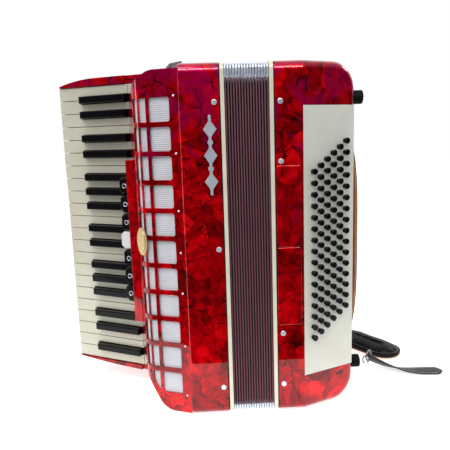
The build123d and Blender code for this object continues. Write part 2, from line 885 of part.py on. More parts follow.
def bar_stems(bar_middle):
    """Where a register bar's two stems stand on the casing's front."""
    return [(bar_stem_x, bar_middle + bar_stem_offset), (bar_stem_x, bar_middle - bar_stem_offset)]


bass_section_points = [
    (bass_left, front),
    (bass_slope_start, front),
    (bass_right, front + slope_rise),
    (bass_right, back),
    (bass_left, back),
]
bass_hollow_points = [
    (bass_left - overrun, front),
    (bass_slope_start, front),
    (bass_right + overrun, front + slope_rise + overrun * math.tan(math.radians(board_tilt))),
    (bass_right + overrun, back),
    (bass_left - overrun, back),
]
bass_inside_points = [
    (bass_left - overrun, wall),
    (bass_right - wall, wall),
    (bass_right - wall, case_height - wall),
    (bass_left - overrun, case_height - wall),
]
slope_length = (bass_right - bass_slope_start) / math.cos(math.radians(board_tilt))

with BuildPart() as slope_block:
    with BuildSketch(board_plane(0)) as slope_face:
        with Locations((0, middle)):
            Rectangle(2 * slope_length, case_height)
        right_corners = slope_face.vertices().group_by(Axis.X)[-1]
        fillet(right_corners, bass_corner_radius)
    extrude(amount=2 * case_depth, dir=(0, 1, 0))
    front_face = slope_block.faces().sort_by(Axis((0, 0, 0), (board_out.X, board_out.Y, 0)))[-1]
    fillet(front_face.edges(), bass_edge_radius)

with BuildPart() as bass_solid:
    with BuildSketch():
        with BuildLine():
            Polyline(*bass_section_points, close=True)
        make_face()
    extrude(amount=case_height)
    add(slope_block.part, mode=Mode.INTERSECT)
    with BuildSketch(Plane.YZ.offset(bass_left)):
        with Locations((0, middle)):
            RectangleRounded(case_depth, case_height, edge_radius)
    extrude(amount=bass_right, mode=Mode.INTERSECT)

with BuildPart() as bass_hollow:
    with BuildSketch():
        with BuildLine():
            Polyline(*bass_hollow_points, close=True)
        make_face()
        offset(amount=-wall, kind=Kind.INTERSECTION, mode=Mode.REPLACE)
    extrude(amount=case_height)
    with BuildSketch(Plane.XZ) as hollow_front:
        with BuildLine():
            Polyline(*bass_inside_points, close=True)
        make_face()
        fillet(hollow_front.vertices().group_by(Axis.X)[-1], bass_corner_radius - wall)
    extrude(amount=case_depth, both=True, mode=Mode.INTERSECT)
    with BuildSketch(Plane.YZ.offset(bass_left - overrun)):
        with Locations((0, middle)):
            RectangleRounded(inner_depth, inner_height, edge_radius - wall)
    extrude(amount=bass_right, mode=Mode.INTERSECT)

with BuildPart() as bass_case:
    add(bass_solid.part)
    split(bisect_by=Plane.YZ.offset(bass_shell_right), keep=Keep.BOTTOM)
    add(bass_hollow.part, mode=Mode.SUBTRACT)
    with BuildSketch(Plane.YZ.offset(bass_shell_right - 8.0)):
        with Locations((wall / 2 + 8.0, middle)):
            RectangleRounded(inner_depth - 2 * 24.0, inner_height - 60.0, 4.0)
    extrude(amount=10.0, mode=Mode.SUBTRACT)
    with BuildSketch(board_plane(0)):
        with Locations((50.0, (board_low + board_high) / 2)):
            Rectangle(100.0, board_high - board_low)
    extrude(amount=7.0, both=True, mode=Mode.SUBTRACT)
    with BuildSketch(Plane.XZ.offset(-front)):
        with Locations(((bass_left + bar_right + bar_clearance) / 2, bar_split)):
            Rectangle(bar_right + bar_clearance - bass_left, bar_high - bar_low + 2 * bar_clearance)
    extrude(amount=-pocket_depth, mode=Mode.SUBTRACT)
    with BuildSketch(Plane.XZ.offset(-front)):
        for bar_middle in bar_middles:
            with Locations(*bar_stems(bar_middle)):
                Circle(bar_stem_radius + bar_clearance)
    extrude(amount=-10.0, mode=Mode.SUBTRACT)
    with BuildSketch(Plane.XZ):
        with Locations([(bass_pin_x, z) for z in pin_heights_bass]):
            Circle(pin_hole)
    extrude(amount=case_depth, both=True, mode=Mode.SUBTRACT)
bass_case.part.label = "bass_case"
export_step(bass_case.part, "parts/bass_case.step")

board_plate = 3.0
board_clear = 0.3
air_y = 72.0
air_z = 392.0
air_stem_radius = 3.0

with BuildPart() as bass_end_cover:
    add(bass_solid.part)
    split(bisect_by=Plane.YZ.offset(bass_shell_right), keep=Keep.TOP)
    with BuildSketch(Plane.YZ.offset(bass_shell_right - 1.0)):
        with Locations((air_y, air_z)):
            Circle(air_stem_radius + 0.4)
    extrude(amount=10.0, mode=Mode.SUBTRACT)
    with BuildSketch(board_plane(-board_plate - 0.2)):
        with Locations((slope_length, (board_low + board_high) / 2)):
            Rectangle(50.0, board_high - board_low)
    extrude(amount=20.0, mode=Mode.SUBTRACT)
bass_end_cover.part.label = "bass_end_cover"
export_step(bass_end_cover.part, "parts/bass_end_cover.step")

for position, bar_middle in zip(("upper", "lower"), bar_middles):
    bar_length = (bar_high - bar_low - bar_gap) / 2
    with BuildPart() as register_bar:
        with BuildSketch(Plane.XZ.offset(-front + bar_proud)):
            with Locations(((bar_left + bar_right) / 2, bar_middle)):
                RectangleRounded(bar_right - bar_left, bar_length, 2.5)
        extrude(amount=-bar_thickness)
        fillet(register_bar.faces().sort_by(Axis.Y)[0].edges(), 1.3)
        with BuildSketch(Plane.XZ.offset(-front)):
            with Locations(*bar_stems(bar_middle)):
                Circle(bar_stem_radius)
        extrude(amount=-8.0)
    register_bar.part.label = f"bass_register_{position}"
    export_step(register_bar.part, f"parts/bass_register_{position}.step")

# ---------------------------------------------------------------- button board and buttons
button_hole = 3.2
button_stem_radius = 2.5
button_stem_end = -15.0
button_cap_radius = 4.0
button_cap_bottom = 3.7
button_cap_top = 6.5


def button_spots(row):
    """Where one row's buttons stand on the board's plane."""
    along = first_row + row_pitch * row
    top = first_button + row_rise * row
    return [(along, top - button_pitch * index) for index in range(buttons_in_row)]


with BuildPart() as button_board:
    with BuildSketch(board_plane(0)):
        with Locations(((board_clear + slope_length) / 2, (board_low + board_high) / 2)):
            Rectangle(slope_length - board_clear, board_high - board_low - 2 * board_clear)
        for row in range(button_rows):
            with Locations(button_spots(row)):
                Circle(button_hole, mode=Mode.SUBTRACT)
    extrude(amount=-board_plate)
    right_edges = button_board.edges().filter_by(Axis.Z).group_by(Axis.X)[-1]
    fillet(right_edges, board_plate / 2)
button_board.part.label = "button_board"
export_step(button_board.part, "parts/button_board.step")

for row in range(button_rows):
    with BuildPart() as buttons:
        with BuildSketch(board_plane(button_cap_bottom)):
            with Locations(button_spots(row)):
                Circle(button_cap_radius)
        extrude(amount=button_cap_top - button_cap_bottom)
        cap_axis = Axis((0, 0, 0), (board_out.X, board_out.Y, 0))
        fillet(buttons.edges().group_by(cap_axis)[-1], 1.0)
        with BuildSketch(board_plane(button_stem_end)):
            with Locations(button_spots(row)):
                Circle(button_stem_radius)
        extrude(amount=button_cap_bottom - button_stem_end)
    buttons.part.label = f"bass_button_row_{row + 1}"
    export_step(buttons.part, f"parts/bass_button_row_{row + 1}.step")

# ---------------------------------------------------------------- inside the bass casing
rod_radius = 2.0
rod_depths = (-24.0, -33.0)
rod_steps = (20.0, 31.0, 42.0, 53.0, 64.0, 75.0)
comb_low = 57.0
comb_high = 409.0
comb_thickness = 3.0


def board_point(along, depth):
    """A point in plan, along the button board's slope and out from it."""
    point = Vector(bass_slope_start, front) + board_along * along + board_out * depth
    return (point.X, point.Y)


comb_points = [board_point(16, -19.5), board_point(79, -19.5), board_point(79, -38), board_point(16, -38)]

with BuildPart() as bass_mechanism:
    for comb in (comb_low, comb_high):
        with BuildSketch(Plane.XY.offset(comb)):
            with BuildLine():
                Polyline(*comb_points, close=True)
            make_face()
        extrude(amount=comb_thickness)
    with BuildSketch(Plane.XY.offset(comb_low)):
        with Locations([board_point(step, depth) for step in rod_steps for depth in rod_depths]):
            Circle(rod_radius)
    extrude(amount=comb_high - comb_low)
bass_mechanism.part.label = "bass_mechanism"
export_step(bass_mechanism.part, "parts/bass_mechanism.step")

with BuildPart() as bass_soundboard:
    with BuildSketch(Plane.YZ.offset(bass_board_face)):
        with Locations((0, middle)):
            RectangleRounded(
                inner_depth - 2 * board_clearance, inner_height - 2 * board_clearance, edge_radius - wall
            )
            with GridLocations(24.0, bass_block_length / bass_plates, 6, bass_plates):
                Rectangle(12.0, 8.0, mode=Mode.SUBTRACT)
    extrude(amount=board_thickness)
bass_soundboard.part.label = "bass_soundboard"
export_step(bass_soundboard.part, "parts/bass_soundboard.step")

with BuildPart() as bass_reed_blocks:
    with BuildSketch(Plane.XY.offset(middle - bass_block_length / 2)):
        for y in bass_block_ys:
            with BuildLine():
                Polyline(*reed_block_points(bass_board_face, -1, y), close=True)
            make_face()
    extrude(amount=bass_block_length)
bass_reed_blocks.part.label = "bass_reed_blocks"
export_step(bass_reed_blocks.part, "parts/bass_reed_blocks.step")

with BuildPart() as bass_reed_plates:
    for index in range(bass_plates):
        pitch = bass_block_length / bass_plates
        with BuildSketch(Plane.XY.offset(middle - bass_block_length / 2 + index * pitch + 1.0)):
            for y in bass_block_ys:
                for side in (-1, 1):
                    with BuildLine():
                        Polyline(*reed_plate_points(bass_board_face, -1, y, side), close=True)
                    make_face()
        extrude(amount=pitch - 2.0)
bass_reed_plates.part.label = "bass_reed_plates"
export_step(bass_reed_plates.part, "parts/bass_reed_plates.step")

# ---------------------------------------------------------------- bass end: feet, hand strap, air button
foot_radius = 9.2
foot_height = 15.0
foot_spots = [(y, z) for y in (-46.0, 76.0) for z in (46.0, 425.0)]

with BuildPart() as bass_feet:
    with BuildSketch(Plane.YZ.offset(bass_right)):
        with Locations(foot_spots):
            Circle(foot_radius)
    extrude(amount=foot_height)
    fillet(bass_feet.edges().group_by(Axis.X)[-1], 1.5)
bass_feet.part.label = "bass_feet"
export_step(bass_feet.part, "parts/bass_feet.step")

hand_strap_front = -34.0
hand_strap_width = 72.0
hand_strap_low = 68.0
hand_strap_high = 385.0
hand_strap_bulge = 16.5
hand_strap_thickness = 4.0
hand_strap_fullness = 4.0
strap_foot = 18.0


def strap_bow(low, high, bulge):
    """Points of a bow in the XZ plane that stands on the end cover, steep at its ends and flat between."""
    parts = [step / 8 for step in range(9)]
    return [
        (bass_right + bulge * (1 - abs(2 * part - 1) ** hand_strap_fullness), low + (high - low) * part)
        for part in parts
    ]


strap_outside = strap_bow(hand_strap_low, hand_strap_high, hand_strap_bulge)
strap_inside = strap_bow(
    hand_strap_low + strap_foot, hand_strap_high - strap_foot, hand_strap_bulge - hand_strap_thickness
)

with BuildPart() as bass_hand_strap:
    with BuildSketch(Plane.XZ.offset(-hand_strap_front)):
        with BuildLine():
            Spline(*strap_outside)
            Line(strap_outside[-1], strap_inside[-1])
            Spline(*strap_inside)
            Line(strap_inside[0], strap_outside[0])
        make_face()
    extrude(amount=-hand_strap_width)
bass_hand_strap.part.label = "bass_hand_strap"
export_step(bass_hand_strap.part, "parts/bass_hand_strap.step")

air_travel = 3.0
air_cap_radius = 7.0

with BuildPart() as air_button:
    with BuildSketch(Plane.YZ.offset(bass_right - 14.0)):
        with Locations((air_y, air_z)):
            Circle(air_stem_radius)
    extrude(amount=14.0 + air_travel + 0.6)
    with BuildSketch(Plane.YZ.offset(bass_right + air_travel + 0.6)):
        with Locations((air_y, air_z)):
            Circle(air_cap_radius)
    extrude(amount=4.0)
    fillet(air_button.edges().group_by(Axis.X)[-1], 1.2)
air_button.part.label = "air_button"
export_step(air_button.part, "parts/air_button.step")

# ---------------------------------------------------------------- shoulder strap lying beside the bass end
strap_lift = 1.0
strap_angle = -53.0
strap_direction = Vector(math.cos(math.radians(strap_angle)), math.sin(math.radians(strap_angle)))
strap_middle = (263.0, 125.0)
strap_length = 180.0
strap_width = 56.0
strap_thickness = 20.0

with BuildPart() as shoulder_strap:
    strap_plane = Plane(
        origin=(*strap_middle, strap_lift), x_dir=(strap_direction.X, strap_direction.Y, 0), z_dir=(0, 0, 1)
    )
    with BuildSketch(strap_plane):
        SlotOverall(strap_length, strap_width)
    extrude(amount=strap_thickness)
    fillet(shoulder_strap.edges().group_by(Axis.Z)[-1], 5.0)
    fillet(shoulder_strap.edges().group_by(Axis.Z)[0], 5.0)
shoulder_strap.part.label = "shoulder_strap"
export_step(shoulder_strap.part, "parts/shoulder_strap.step")

tail_points = [
    (262, 32),
    (281, 10),
    (306, -7),
    (338, -15),
    (354, -16),
    (367, -3),
    (358, 9),
    (340, 10),
    (313, 17),
    (292, 30),
    (276, 44),
]

with BuildPart() as strap_tail:
    with BuildSketch(Plane.XY.offset(strap_lift)):
        with BuildLine():
            Polyline(*tail_points, close=True)
        make_face()
    extrude(amount=3.0)
strap_tail.part.label = "strap_tail"
export_step(strap_tail.part, "parts/strap_tail.step")

with BuildPart() as strap_ring:
    with BuildSketch(Plane(origin=(262.0, 40.0, 13.6), x_dir=(0.7, 0.7, 0), z_dir=(0.7, -0.7, 0))):
        Circle(9.5)
        Circle(6.5, mode=Mode.SUBTRACT)
    extrude(amount=3.0)
strap_ring.part.label = "strap_ring"
export_step(strap_ring.part, "parts/strap_ring.step")
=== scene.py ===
"""Looks for the piano accordion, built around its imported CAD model. Metres, +Z up, -Y the front."""
import json
import math

import bmesh
import bpy
from mathutils import Matrix, Vector


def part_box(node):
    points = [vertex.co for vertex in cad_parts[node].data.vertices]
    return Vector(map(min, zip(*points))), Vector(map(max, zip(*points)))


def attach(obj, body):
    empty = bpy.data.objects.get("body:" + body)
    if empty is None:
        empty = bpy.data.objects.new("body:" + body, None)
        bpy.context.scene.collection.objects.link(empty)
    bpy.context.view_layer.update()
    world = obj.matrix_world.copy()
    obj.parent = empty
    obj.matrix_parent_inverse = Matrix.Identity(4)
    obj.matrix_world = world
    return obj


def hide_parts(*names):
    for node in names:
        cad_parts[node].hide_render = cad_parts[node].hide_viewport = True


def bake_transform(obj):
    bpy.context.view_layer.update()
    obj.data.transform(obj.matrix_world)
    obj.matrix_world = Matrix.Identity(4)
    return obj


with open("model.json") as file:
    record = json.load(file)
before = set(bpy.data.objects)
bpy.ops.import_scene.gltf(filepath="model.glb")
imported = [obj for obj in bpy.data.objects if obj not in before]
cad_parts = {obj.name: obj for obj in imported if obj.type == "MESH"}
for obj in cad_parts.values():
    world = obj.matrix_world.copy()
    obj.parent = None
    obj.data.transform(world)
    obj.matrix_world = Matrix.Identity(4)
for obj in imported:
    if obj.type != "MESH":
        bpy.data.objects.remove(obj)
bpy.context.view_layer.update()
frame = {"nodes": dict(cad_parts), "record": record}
nodes = frame["nodes"]
MM = 0.001

# ---------------------------------------------------------------- camera, floor and lights
CAMERA_PLACE = Vector((4.8, -758.7, 380.3)) * MM
# The camera's angles are in degrees.
CAMERA_YAW = 1.99
CAMERA_PITCH = 9.86
CAMERA_ROLL = -1.87
CAMERA_LENS = 41.44
SHEET_FRONT = -0.262
SHEET_BACK = 0.40
FLOOR_SIZE = 5.0
FLOOR_COLOR = (0.68, 0.68, 0.67, 1)
FLOOR_GLOW = 0.55
SHEET_GLOW = 0.70
SUN_FROM = Vector((-0.35, -0.45, 0.82))
SUN_STRENGTH = 1.45
SUN_ANGLE = 40.0
# Lights that matt surfaces don't pick up: place, target, size and power of each.
STRIPS = (
    ((0.0, -1.67, 1.72), (0.0, -0.09, 0.46), (2.4, 0.34), 42),
    ((1.60, 0.59, 1.32), (0.17, -0.06, 0.45), (0.7, 0.30), 5.5),
    ((-2.2, -0.15, 0.25), (0.0, -0.1, 0.25), (0.4, 1.2), 7),
)


def add_camera():
    yaw, pitch, roll = (math.radians(v) for v in (CAMERA_YAW, CAMERA_PITCH, CAMERA_ROLL))
    ahead = Vector((math.sin(yaw) * math.cos(pitch), math.cos(yaw) * math.cos(pitch), -math.sin(pitch)))
    level = Vector((math.cos(yaw), -math.sin(yaw), 0))
    upright = level.cross(ahead)
    right = level * math.cos(roll) + upright * math.sin(roll)
    up = upright * math.cos(roll) - level * math.sin(roll)
    data = bpy.data.cameras.new("camera")
    data.lens = CAMERA_LENS
    data.sensor_width = 36.0
    data.clip_start = 0.01
    camera = bpy.data.objects.new("camera", data)
    matrix = Matrix((right, up, -ahead)).transposed().to_4x4()
    matrix.translation = CAMERA_PLACE
    camera.matrix_world = matrix
    bpy.context.scene.collection.objects.link(camera)
    bpy.context.scene.camera = camera


def add_sun():
    data = bpy.data.lights.new("sun", "SUN")
    data.energy = SUN_STRENGTH
    data.angle = math.radians(SUN_ANGLE)
    light = bpy.data.objects.new("sun", data)
    light.rotation_euler = SUN_FROM.to_track_quat("Z", "Y").to_euler()
    bpy.context.scene.collection.objects.link(light)


def add_strip(place, target, size, power):
    data = bpy.data.lights.new("strip", "AREA")
    data.shape = "RECTANGLE"
    data.size, data.size_y = size
    data.energy = power
    light = bpy.data.objects.new("strip", data)
    light.visible_diffuse = False
    light.location = place
    light.rotation_euler = (Vector(target) - Vector(place)).to_track_quat("-Z", "Y").to_euler()
    bpy.context.scene.collection.objects.link(light)


def link(tree, source, target):
    tree.links.new(source, target)


def make_node(tree, kind, **values):
    """A shader node with its settings and unlinked inputs given by name."""
    made = tree.nodes.new(kind)
    for key, value in values.items():
        if hasattr(made, key):
            setattr(made, key, value)
        else:
            made.inputs[key.replace("_", " ")].default_value = value
    return made


def maths(tree, operation, *terms):
    """The output of one Math node. Each term is a socket or a number."""
    made = make_node(tree, "ShaderNodeMath", operation=operation)
    for socket, term in zip(made.inputs, terms):
        if isinstance(term, (int, float)):
            socket.default_value = term
        else:
            link(tree, term, socket)
    return made.outputs[0]


def ramp(tree, source, stops):
    made = tree.nodes.new("ShaderNodeValToRGB")
    elements = made.color_ramp.elements
    while len(elements) < len(stops):
        elements.new(0.5)
    for element, (place, color) in zip(elements, stops):
        element.position = place
        element.color = (*color, 1.0)
    link(tree, source, made.inputs[0])
    return made.outputs[0]


def grey_ramp(tree, source, *stops):
    return ramp(tree, source, [(place, (value, value, value)) for place, value in stops])


def mix_color(tree, factor, color, other):
    """From the socket color, where factor is 0, to the plain colour other, where it is 1."""
    made = make_node(tree, "ShaderNodeMix", data_type="RGBA")
    link(tree, factor, made.inputs[0])
    link(tree, color, made.inputs[6])
    made.inputs[7].default_value = (*other, 1.0)
    return made.outputs[2]


def background(tree, light, strength):
    made = tree.nodes.new("ShaderNodeBackground")
    made.inputs[1].default_value = strength
    if isinstance(light, tuple):
        made.inputs[0].default_value = (*light, 1.0)
    else:
        link(tree, light, made.inputs[0])
    return made.outputs[0]


def add_world():
    """White behind the object, soft light all round, and a darker room for the gloss to reflect."""
    world = bpy.data.worlds.new("studio")
    bpy.context.scene.world = world
    world.use_nodes = True
    tree = world.node_tree
    tree.nodes.clear()
    coords = tree.nodes.new("ShaderNodeTexCoord")
    split = tree.nodes.new("ShaderNodeSeparateXYZ")
    link(tree, coords.outputs["Generated"], split.inputs[0])
    behind = grey_ramp(tree, split.outputs[1], (0.15, 0.0), (0.55, 0.85))
    above = grey_ramp(tree, split.outputs[2], (0.0, 0.0), (0.04, 1.0))
    wall_light = maths(tree, "MULTIPLY", behind, above)
    ceiling = grey_ramp(tree, split.outputs[2], (0.0, 0.010), (0.28, 0.03), (0.48, 0.22), (0.9, 0.65))
    room = maths(tree, "ADD", wall_light, ceiling)
    path = tree.nodes.new("ShaderNodeLightPath")
    sky = ramp(tree, split.outputs[2], [(0.0, (0.32, 0.33, 0.34)), (0.05, (0.76, 0.77, 0.79))])
    soft = background(tree, sky, 1.0)
    plain = background(tree, (1.0, 1.0, 1.0), 1.0)
    shown = tree.nodes.new("ShaderNodeMixShader")
    link(tree, path.outputs["Is Glossy Ray"], shown.inputs[0])
    link(tree, soft, shown.inputs[1])
    link(tree, background(tree, room, 1.0), shown.inputs[2])
    both = tree.nodes.new("ShaderNodeMixShader")
    link(tree, path.outputs["Is Camera Ray"], both.inputs[0])
    link(tree, shown.outputs[0], both.inputs[1])
    link(tree, plain, both.inputs[2])
    out = tree.nodes.new("ShaderNodeOutputWorld")
    link(tree, both.outputs[0], out.inputs[0])


def add_floor():
    """A white sheet under the object, and plain floor round it that the gloss doesn't pick up."""
    strips = (
        ("floor_front", -FLOOR_SIZE, SHEET_FRONT),
        ("floor_sheet", SHEET_FRONT, SHEET_BACK),
        ("floor_back", SHEET_BACK, FLOOR_SIZE),
    )
    for name, near, far in strips:
        material = bpy.data.materials.new(name)
        material.use_nodes = True
        shader = material.node_tree.nodes["Principled BSDF"]
        shader.inputs["Base Color"].default_value = FLOOR_COLOR
        shader.inputs["Roughness"].default_value = 0.7
        shader.inputs["Specular IOR Level"].default_value = 0.0
        shader.inputs["Emission Color"].default_value = (1, 1, 1, 1)
        shader.inputs["Emission Strength"].default_value = SHEET_GLOW if name == "floor_sheet" else FLOOR_GLOW
        corners = [(-FLOOR_SIZE, near, 0), (FLOOR_SIZE, near, 0), (FLOOR_SIZE, far, 0), (-FLOOR_SIZE, far, 0)]
        mesh = bpy.data.meshes.new(name)
        mesh.from_pydata(corners, [], [(0, 1, 2, 3)])
        mesh.materials.append(material)
        floor = bpy.data.objects.new(name, mesh)
        floor.visible_glossy = name == "floor_sheet"
        floor.visible_diffuse = name != "floor_front"
        bpy.context.scene.collection.objects.link(floor)


add_camera()
add_world()
add_floor()
add_sun()
for strip in STRIPS:
    add_strip(*strip)
bpy.context.scene.view_settings.view_transform = "Standard"


# ---------------------------------------------------------------- materials
def new_material(name, roughness, coat=0.0, metallic=0.0, sheen=0.0):
    material = bpy.data.materials.new(name)
    material.use_nodes = True
    tree = material.node_tree
    shader = tree.nodes["Principled BSDF"]
    shader.inputs["Roughness"].default_value = roughness
    shader.inputs["Coat Weight"].default_value = coat
    shader.inputs["Coat Roughness"].default_value = 0.03
    shader.inputs["Metallic"].default_value = metallic
    shader.inputs["Sheen Weight"].default_value = sheen
    return material, tree, shader


def place_in_object(tree, scale=(1, 1, 1)):
    coords = tree.nodes.new("ShaderNodeTexCoord")
    mapping = tree.nodes.new("ShaderNodeMapping")
    mapping.inputs["Scale"].default_value = scale
    link(tree, coords.outputs["Object"], mapping.inputs["Vector"])
    return mapping.outputs[0]


def noise(tree, vector, scale, detail=2.0, distortion=0.0):
    made = make_node(tree, "ShaderNodeTexNoise", Scale=scale, Detail=detail, Distortion=distortion)
    link(tree, vector, made.inputs["Vector"])
    return made


def shifted(tree, vector, source, amount):
    """vector moved by a colour, about its middle grey, times amount."""
    centred = make_node(tree, "ShaderNodeVectorMath", operation="SUBTRACT")
    link(tree, source, centred.inputs[0])
    centred.inputs[1].default_value = (0.5, 0.5, 0.5)
    scaled = make_node(tree, "ShaderNodeVectorMath", operation="SCALE")
    link(tree, centred.outputs[0], scaled.inputs[0])
    scaled.inputs["Scale"].default_value = amount
    added = make_node(tree, "ShaderNodeVectorMath", operation="ADD")
    link(tree, vector, added.inputs[0])
    link(tree, scaled.outputs[0], added.inputs[1])
    return added.outputs[0]


def soften_edges(tree, shader, radius, relief=None, strength=0.0):
    """Rounds the edges in the shading, with a fine relief on top where one is given."""
    bevel = make_node(tree, "ShaderNodeBevel", samples=4, Radius=radius)
    normal = bevel.outputs[0]
    if relief is not None:
        bump = make_node(tree, "ShaderNodeBump", Strength=strength, Distance=0.0002)
        link(tree, relief, bump.inputs["Height"])
        link(tree, normal, bump.inputs["Normal"])
        normal = bump.outputs[0]
    link(tree, normal, shader.inputs["Normal"])
    link(tree, bevel.outputs[0], shader.inputs["Coat Normal"])


def add_bump(tree, shader, height, strength, distance):
    bump = make_node(tree, "ShaderNodeBump", Strength=strength, Distance=distance)
    link(tree, height, bump.inputs["Height"])
    link(tree, bump.outputs[0], shader.inputs["Normal"])


def pearloid():
    """Red pearloid: shards of different depth, a silky drift in each and fine dark cracks between some."""
    material, tree, shader = new_material("red_pearloid_look", roughness=0.38, coat=1.0, metallic=0.5)
    shader.inputs["Specular IOR Level"].default_value = 0.0
    base = place_in_object(tree)
    sway = noise(tree, base, 30.0, 2.0, 0.4)
    bent = shifted(tree, base, sway.outputs["Color"], 0.020)
    shards = make_node(tree, "ShaderNodeTexVoronoi", Scale=34.0)
    link(tree, bent, shards.inputs["Vector"])
    per_shard = tree.nodes.new("ShaderNodeSeparateColor")
    link(tree, shards.outputs["Color"], per_shard.inputs[0])
    lean = shifted(tree, base, shards.outputs["Color"], 0.5)
    silk = noise(tree, lean, 30.0, 3.0, 1.8)
    flow = maths(tree, "MULTIPLY", silk.outputs[0], 0.80)
    tone = maths(tree, "MULTIPLY_ADD", per_shard.outputs[0], 0.20, flow)
    red = ramp(tree, tone, [
        (0.30, (0.140, 0.000, 0.001)),
        (0.42, (0.310, 0.000, 0.002)),
        (0.54, (0.520, 0.000, 0.003)),
        (0.64, (0.780, 0.000, 0.005)),
        (0.76, (1.000, 0.004, 0.010)),
    ])
    tint = noise(tree, base, 26.0, 3.0, 1.2)
    height = tree.nodes.new("ShaderNodeSeparateXYZ")
    link(tree, base, height.inputs[0])
    crimson = maths(tree, "ADD", height.outputs[2], tint.outputs[0])
    purple = grey_ramp(tree, crimson, (0.88, 0.0), (1.02, 0.65))
    red = mix_color(tree, purple, red, (0.350, 0.0, 0.068))
    cracks = make_node(tree, "ShaderNodeTexVoronoi", Scale=36.0, feature="DISTANCE_TO_EDGE")
    link(tree, shifted(tree, base, sway.outputs["Color"], 0.030), cracks.inputs["Vector"])
    line = grey_ramp(tree, cracks.outputs["Distance"], (0.008, 1.0), (0.040, 0.0))
    where = noise(tree, base, 60.0, 1.0)
    present = grey_ramp(tree, where.outputs[0], (0.46, 0.0), (0.58, 0.9))
    dark = maths(tree, "MULTIPLY", line, present)
    color = mix_color(tree, dark, red, (0.010, 0.0, 0.001))
    link(tree, color, shader.inputs["Base Color"])
    soften_edges(tree, shader, 0.0010)
    return material


def plastic(name, light, dark, roughness, coat=0.6, scale=18.0, specular=0.5):
    """Polished plastic with a slow drift of colour and fine polishing marks."""
    material, tree, shader = new_material(name, roughness=roughness, coat=coat)
    shader.inputs["Specular IOR Level"].default_value = specular
    base = place_in_object(tree)
    drift = noise(tree, base, scale, 4.0, 0.3)
    color = ramp(tree, drift.outputs[0], [(0.3, dark), (0.7, light)])
    link(tree, color, shader.inputs["Base Color"])
    marks = noise(tree, place_in_object(tree, (1, 1, 6)), 260.0, 3.0)
    gloss = grey_ramp(tree, marks.outputs[0], (0.3, roughness * 0.8), (0.8, roughness * 1.4))
    link(tree, gloss, shader.inputs["Roughness"])
    soften_edges(tree, shader, 0.0006, marks.outputs[0], 0.03)
    return material


def metal(name, light, dark, roughness, scale=(1, 1, 1), grain=700.0, metallic=1.0):
    """Metal with a fine grain, finer along an axis that has a larger scale."""
    material, tree, shader = new_material(name, roughness=roughness, metallic=metallic)
    base = place_in_object(tree, scale)
    lines = noise(tree, base, grain, 3.0)
    link(tree, ramp(tree, lines.outputs[0], [(0.3, dark), (0.7, light)]), shader.inputs["Base Color"])
    gloss = grey_ramp(tree, lines.outputs[0], (0.3, roughness * 0.7), (0.7, roughness * 1.4))
    link(tree, gloss, shader.inputs["Roughness"])
    soften_edges(tree, shader, 0.0004, lines.outputs[0], 0.04)
    return material


def leather(name, light, dark, roughness, grain, relief, coat=0.0, specular=0.5):
    """Leather, rubber or thread: pebbles as fine as grain, with soft folds in the colour and the relief."""
    material, tree, shader = new_material(name, roughness=roughness, coat=coat)
    shader.inputs["Specular IOR Level"].default_value = specular
    base = place_in_object(tree)
    pebbles = make_node(tree, "ShaderNodeTexVoronoi", Scale=grain)
    link(tree, base, pebbles.inputs["Vector"])
    folds = noise(tree, base, 70.0, 3.0, 0.8)
    height = maths(tree, "MULTIPLY_ADD", folds.outputs[0], 2.0, pebbles.outputs["Distance"])
    link(tree, ramp(tree, folds.outputs[0], [(0.3, dark), (0.7, light)]), shader.inputs["Base Color"])
    add_bump(tree, shader, height, relief, 0.0006)
    return material


def wood(name, light, dark):
    material, tree, shader = new_material(name, roughness=0.5)
    base = place_in_object(tree, (1, 1, 0.08))
    rings = noise(tree, base, 160.0, 4.0, 0.6)
    link(tree, ramp(tree, rings.outputs[0], [(0.35, dark), (0.65, light)]), shader.inputs["Base Color"])
    add_bump(tree, shader, rings.outputs[0], 0.2, 0.0004)
    return material


def bellows_cloth():
    """Maroon cloth, lighter on the ridges of the folds and painted near black down in them as painted shade,
    by the value "ridge" on the mesh.
    """
    material, tree, shader = new_material("bellows_cloth_look", roughness=0.62, sheen=0.05)
    ridge = make_node(tree, "ShaderNodeAttribute", attribute_name="ridge")
    worn = noise(tree, place_in_object(tree, (1, 1, 0.2)), 120.0, 4.0)
    amount = maths(tree, "MULTIPLY_ADD", worn.outputs[0], 0.35, ridge.outputs["Fac"])
    # Painted shade: the colour goes near black where the cloth lies deep in the folds, and lighter towards
    # the ridges.
    color = ramp(tree, amount, [
        (0.35, (0.004, 0.001, 0.001)),
        (0.70, (0.034, 0.003, 0.007)),
        (1.00, (0.066, 0.008, 0.016)),
        (1.20, (0.165, 0.046, 0.068)),
    ])
    link(tree, color, shader.inputs["Base Color"])
    weave = make_node(tree, "ShaderNodeTexWave", Scale=900.0, Distortion=2.0, bands_direction="Z")
    link(tree, place_in_object(tree), weave.inputs["Vector"])
    add_bump(tree, shader, weave.outputs["Fac"], 0.25, 0.0003)
    return material


def silver_mesh():
    """Pale grille cloth with level threads."""
    material, tree, shader = new_material("silver_mesh_look", roughness=0.5)
    threads = make_node(tree, "ShaderNodeTexWave", Scale=520.0, Distortion=0.4, bands_direction="Z")
    link(tree, place_in_object(tree), threads.inputs["Vector"])
    tone = noise(tree, place_in_object(tree), 60.0, 3.0)
    color = ramp(tree, tone.outputs[0], [(0.3, (0.60, 0.61, 0.66)), (0.7, (0.68, 0.69, 0.73))])
    link(tree, color, shader.inputs["Base Color"])
    add_bump(tree, shader, threads.outputs["Fac"], 0.15, 0.0002)
    return material


